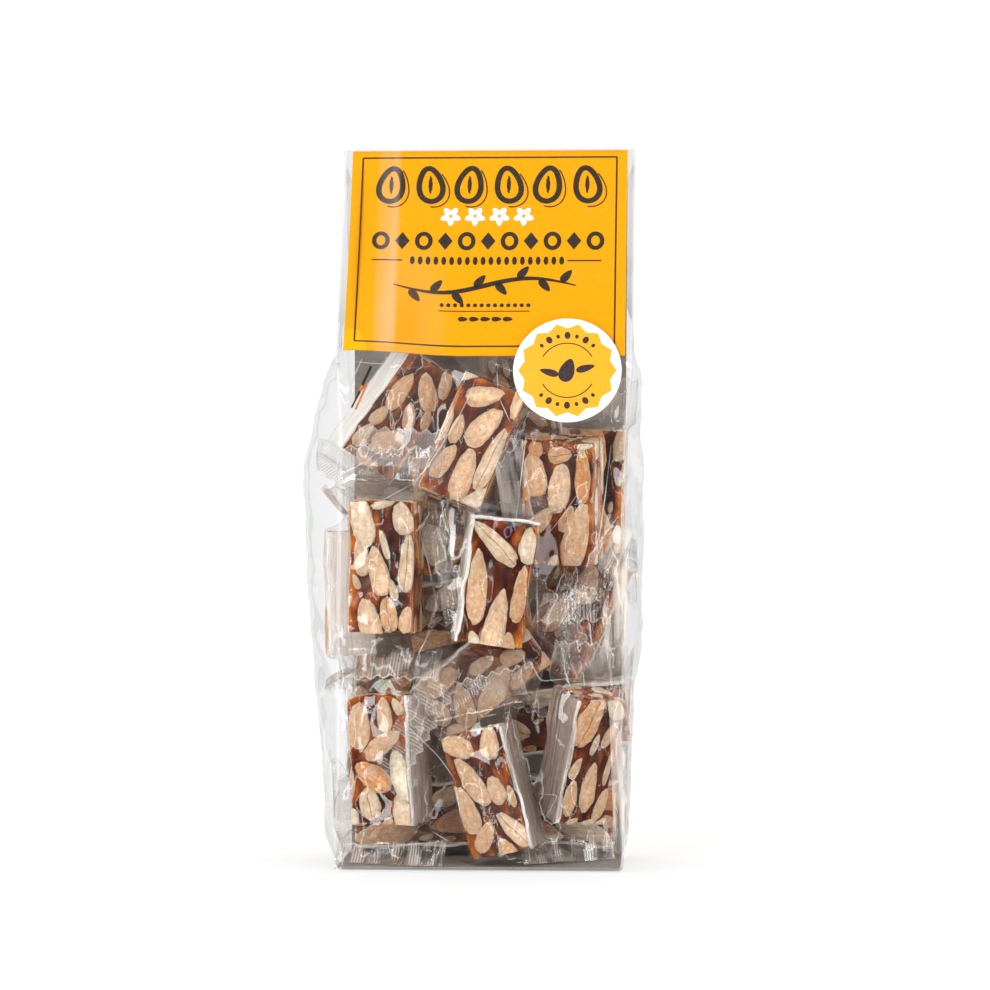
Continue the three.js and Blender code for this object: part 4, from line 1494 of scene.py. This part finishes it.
def wrapper_points(block, rng):
    """A film sleeve round a block, its faces, and how white each point is: its own milkiness, and painted
    highlights on ribs, folds and cut edges.
    """
    half_long = block.length / 2
    along = wrapper_levels(half_long)
    past = np.clip(np.abs(along) - half_long, 0, None)
    pressed = smooth(SEAL_TAPER - 0.5, SEAL_TAPER + 0.5, past)[:, None]
    seed = int(rng.integers(1e6))
    rings = crumpled_sleeve(sleeve(block, along, past, pressed), past, pressed, seed)
    shut = smooth(0, SEAL_TAPER, past)[:, None]
    glint_dashes = np.clip(ripples(rings * (1, 1, 0.35), 5.0, seed + 9) + 0.35, 0, 1)
    ribs = np.where(along < 0, block.low_ribs, block.high_ribs)[:, None]
    crest = there_and_back(WRAPPER_COLUMNS, RIB_COLUMNS)
    # The veil is the film's own milkiness. Over it come painted highlights: white dashes on the rib crests,
    # white fold columns and white cut edges.
    edge = block.veil + 0.01 * shut + pressed * ribs * glint_dashes * np.append(crest, crest[::-1]) ** 4
    edge[:, [0, WRAPPER_COLUMNS - 1, WRAPPER_COLUMNS, -1]] = 0.08 + 0.12 * shut
    edge[[0, -1]] = 0.8
    points = bent(rings.reshape(-1, 3), half_long + 1.2, math.radians(block.high_fold))
    points = bent(points * (1, 1, -1), half_long + 1.2, math.radians(block.low_fold)) * (1, 1, -1)
    return points, strip_faces(len(along), rings.shape[1], closed=True), edge.ravel()


def push_out(points, own):
    """Moves what has run into another block out of it, by the shortest way."""
    for k, matrix in enumerate(BLOCK_MATRICES):
        if k == own:
            continue
        half = half_size(BLOCKS[k]) + 0.55
        local = into_block(points, matrix)
        inside = half - np.abs(local)
        axis = inside.argmin(axis=1)
        hit = inside.min(axis=1) > 0
        rows = np.nonzero(hit)[0]
        local[rows, axis[rows]] = np.where(local[rows, axis[rows]] < 0, -1, 1) * half[axis[rows]]
        points = np.where(hit[:, None], into_bag(local, matrix), points)
    return points


def kept_inside(points):
    """Keeps wrappers behind the front film, before the card and between the gussets."""
    x, y, z = points.T
    z = np.clip(z, BASE_Z + 0.6, None)
    half = at_height(CORNER_HALF, z) - 0.5
    middle = smooth(-20, 0, y) * smooth(21, 8, y)
    low = sway(z) - half - at_height(LEFT_BULGE, z) * middle * 0.8
    high = sway(z) + half + at_height(RIGHT_BULGE, z) * middle * 0.8
    x = np.clip(x, low, high)
    label = over_label(x, np.maximum(z, HEADER_FOOT_Z)) + BOARD + GAP + 0.8
    label_foot = HEADER_FOOT_Z - 4 - 0.4 * curl_forward(x, HEADER_LENGTH)
    near = front_at(x, z) + BEHIND_FILM
    near = np.where(z > label_foot, np.maximum(near, label), near)
    y = np.clip(y, near, back_y(z) - BOARD / 2 - 0.3)
    return np.column_stack([x, y, z])


def make_flap(index, flap, material):
    """A wrapper's loose end just behind the bag's front: ribbed and toothed, or smooth with soft streaks."""
    (x0, z0), lean, length, width, milky, ribbed = flap
    way = np.array([math.sin(math.radians(lean)), -math.cos(math.radians(lean))])
    columns = 4 * int(length / 1.7)
    crest = there_and_back(columns, RIB_COLUMNS)
    teeth = TOOTH_DEPTH * there_and_back(columns, TOOTH_COLUMNS)
    across = np.linspace(-0.5, 0.5, 16)[:, None] * width * np.ones(columns)
    along = np.linspace(-0.5, 0.5, columns)[None] * length
    across[-1] += teeth if ribbed else 0.6 * ripples(along[0][:, None], 12.0, 870 + index)
    x = x0 + way[0] * along - way[1] * across
    z = z0 + way[1] * along + way[0] * across
    places = np.stack([along + 0 * across, across], -1)
    if ribbed:
        # Painted highlights on the rib crests.
        glint_dashes = np.clip(ripples(places, 5.0, 880 + index) + 0.6, 0, 1)
        edge, lift = milky + ribbed * glint_dashes * crest**4, RIB_DEPTH * crest
    else:
        streaks = ripples(places * (0.12, 1), 4.0, 880 + index)
        ends = smooth(0, 0.25, 0.5 - np.abs(along) / length)
        edge, lift = milky * np.clip(0.8 + 0.7 * streaks, 0.1, 2) * ends, 0.3 * streaks
    # A painted highlight along the toothed cut edge.
    edge[-1] = 0.4
    points = np.stack([x, front_at(x, z) + BEHIND_FILM + lift, z], -1)
    mesh = new_mesh(f"wrapper_end_{index + 1:02d}", points, strip_faces(*x.shape))
    write_attribute(mesh, "edge", edge.ravel())
    return add_piece(mesh.name, mesh, [material], crease=45)


def make_wrapper(index, block, material):
    rng = np.random.default_rng(500 + index)
    points, faces, edge = wrapper_points(block, rng)
    placed = kept_inside(push_out(into_bag(points, BLOCK_MATRICES[index]), index))
    mesh = new_mesh(f"wrapper_{index + 1:02d}", placed, faces)
    write_attribute(mesh, "edge", edge)
    return add_piece(mesh.name, mesh, [material], crease=45)


# --- Floor, light and camera --------------------------------------------------------------------


def make_floor():
    corners = [(x * FLOOR_SIZE, y * FLOOR_SIZE, 0) for x, y in ((-1, -1), (1, -1), (1, 1), (-1, 1))]
    mesh = bpy.data.meshes.new("floor")
    mesh.from_pydata(corners, [], [(0, 1, 2, 3)])
    mesh.materials.append(floor_material())
    floor = bpy.data.objects.new("floor", mesh)
    bpy.context.collection.objects.link(floor)
    floor.visible_glossy = False
    floor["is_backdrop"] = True


def add_softbox(name, place, size, power):
    light = bpy.data.lights.new(name, "AREA")
    light.shape = "RECTANGLE"
    light.size, light.size_y = size
    light.energy = power
    lamp = bpy.data.objects.new(name, light)
    lamp.location = place
    lamp.rotation_euler = (Vector(BAG_MIDDLE) - Vector(place)).to_track_quat("-Z", "Y").to_euler()
    lamp.visible_camera = False
    bpy.context.collection.objects.link(lamp)


def light_studio():
    """White to the camera, grey to what is lit by it, and dark to what mirrors it, so that the softboxes
    stand out in the film."""
    world = bpy.data.worlds.new("studio")
    world.use_nodes = True
    tree = world.node_tree
    tree.nodes.clear()
    output = tree.nodes.new("ShaderNodeOutputWorld")
    path = tree.nodes.new("ShaderNodeLightPath")
    shader = None
    for ray, strength in ((None, 0.82), ("Is Glossy Ray", 0.05), ("Is Camera Ray", 1.02)):
        glow = tree.nodes.new("ShaderNodeBackground")
        glow.inputs["Strength"].default_value = strength
        if ray:
            mix = tree.nodes.new("ShaderNodeMixShader")
            tree.links.new(path.outputs[ray], mix.inputs[0])
            tree.links.new(shader, mix.inputs[1])
            tree.links.new(glow.outputs[0], mix.inputs[2])
        shader = (mix if ray else glow).outputs[0]
        glow.inputs["Color"].default_value = (1, 1, 1, 1)
    tree.links.new(shader, output.inputs["Surface"])
    bpy.context.scene.world = world
    for softbox in SOFTBOXES:
        add_softbox(*softbox)


def aim_camera():
    """Level with the bag's middle, and turned a little to the right of its front."""
    view = Vector((-math.sin(CAMERA_YAW), math.cos(CAMERA_YAW), 0))
    data = bpy.data.cameras.new("camera")
    data.sensor_width = SENSOR
    data.lens = LENS
    camera = bpy.data.objects.new("camera", data)
    camera.location = Vector(CAMERA_AIM) - view * CAMERA_DISTANCE
    camera.rotation_euler = view.to_track_quat("-Z", "Y").to_euler()
    bpy.context.collection.objects.link(camera)
    bpy.context.scene.camera = camera


def main():
    scene = bpy.context.scene
    scene.view_settings.view_transform = "Standard"
    scene.cycles.transparent_max_bounces = 40
    scene.cycles.max_bounces = 10
    block_materials = [caramel_material(), almond_material(), wafer_material()]
    wrap = film_material("wrapper_film", 0.03, 0.06, 160.0, 254, (252, 240, 228))
    make_card()
    make_label_print()
    make_back_print()
    make_painted_reflections()
    dress_sticker()
    for index, block in enumerate(BLOCKS):
        make_block(index, block, block_materials)
        make_wrapper(index, block, wrap)
    for index, flap in enumerate(FLAPS):
        make_flap(index, flap, wrap)
    make_film()
    make_floor()
    light_studio()
    aim_camera()


main()
boxes = {"cad": cad_box, "visual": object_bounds()}
{key: [list(corner) for corner in box] for key, box in boxes.items()}
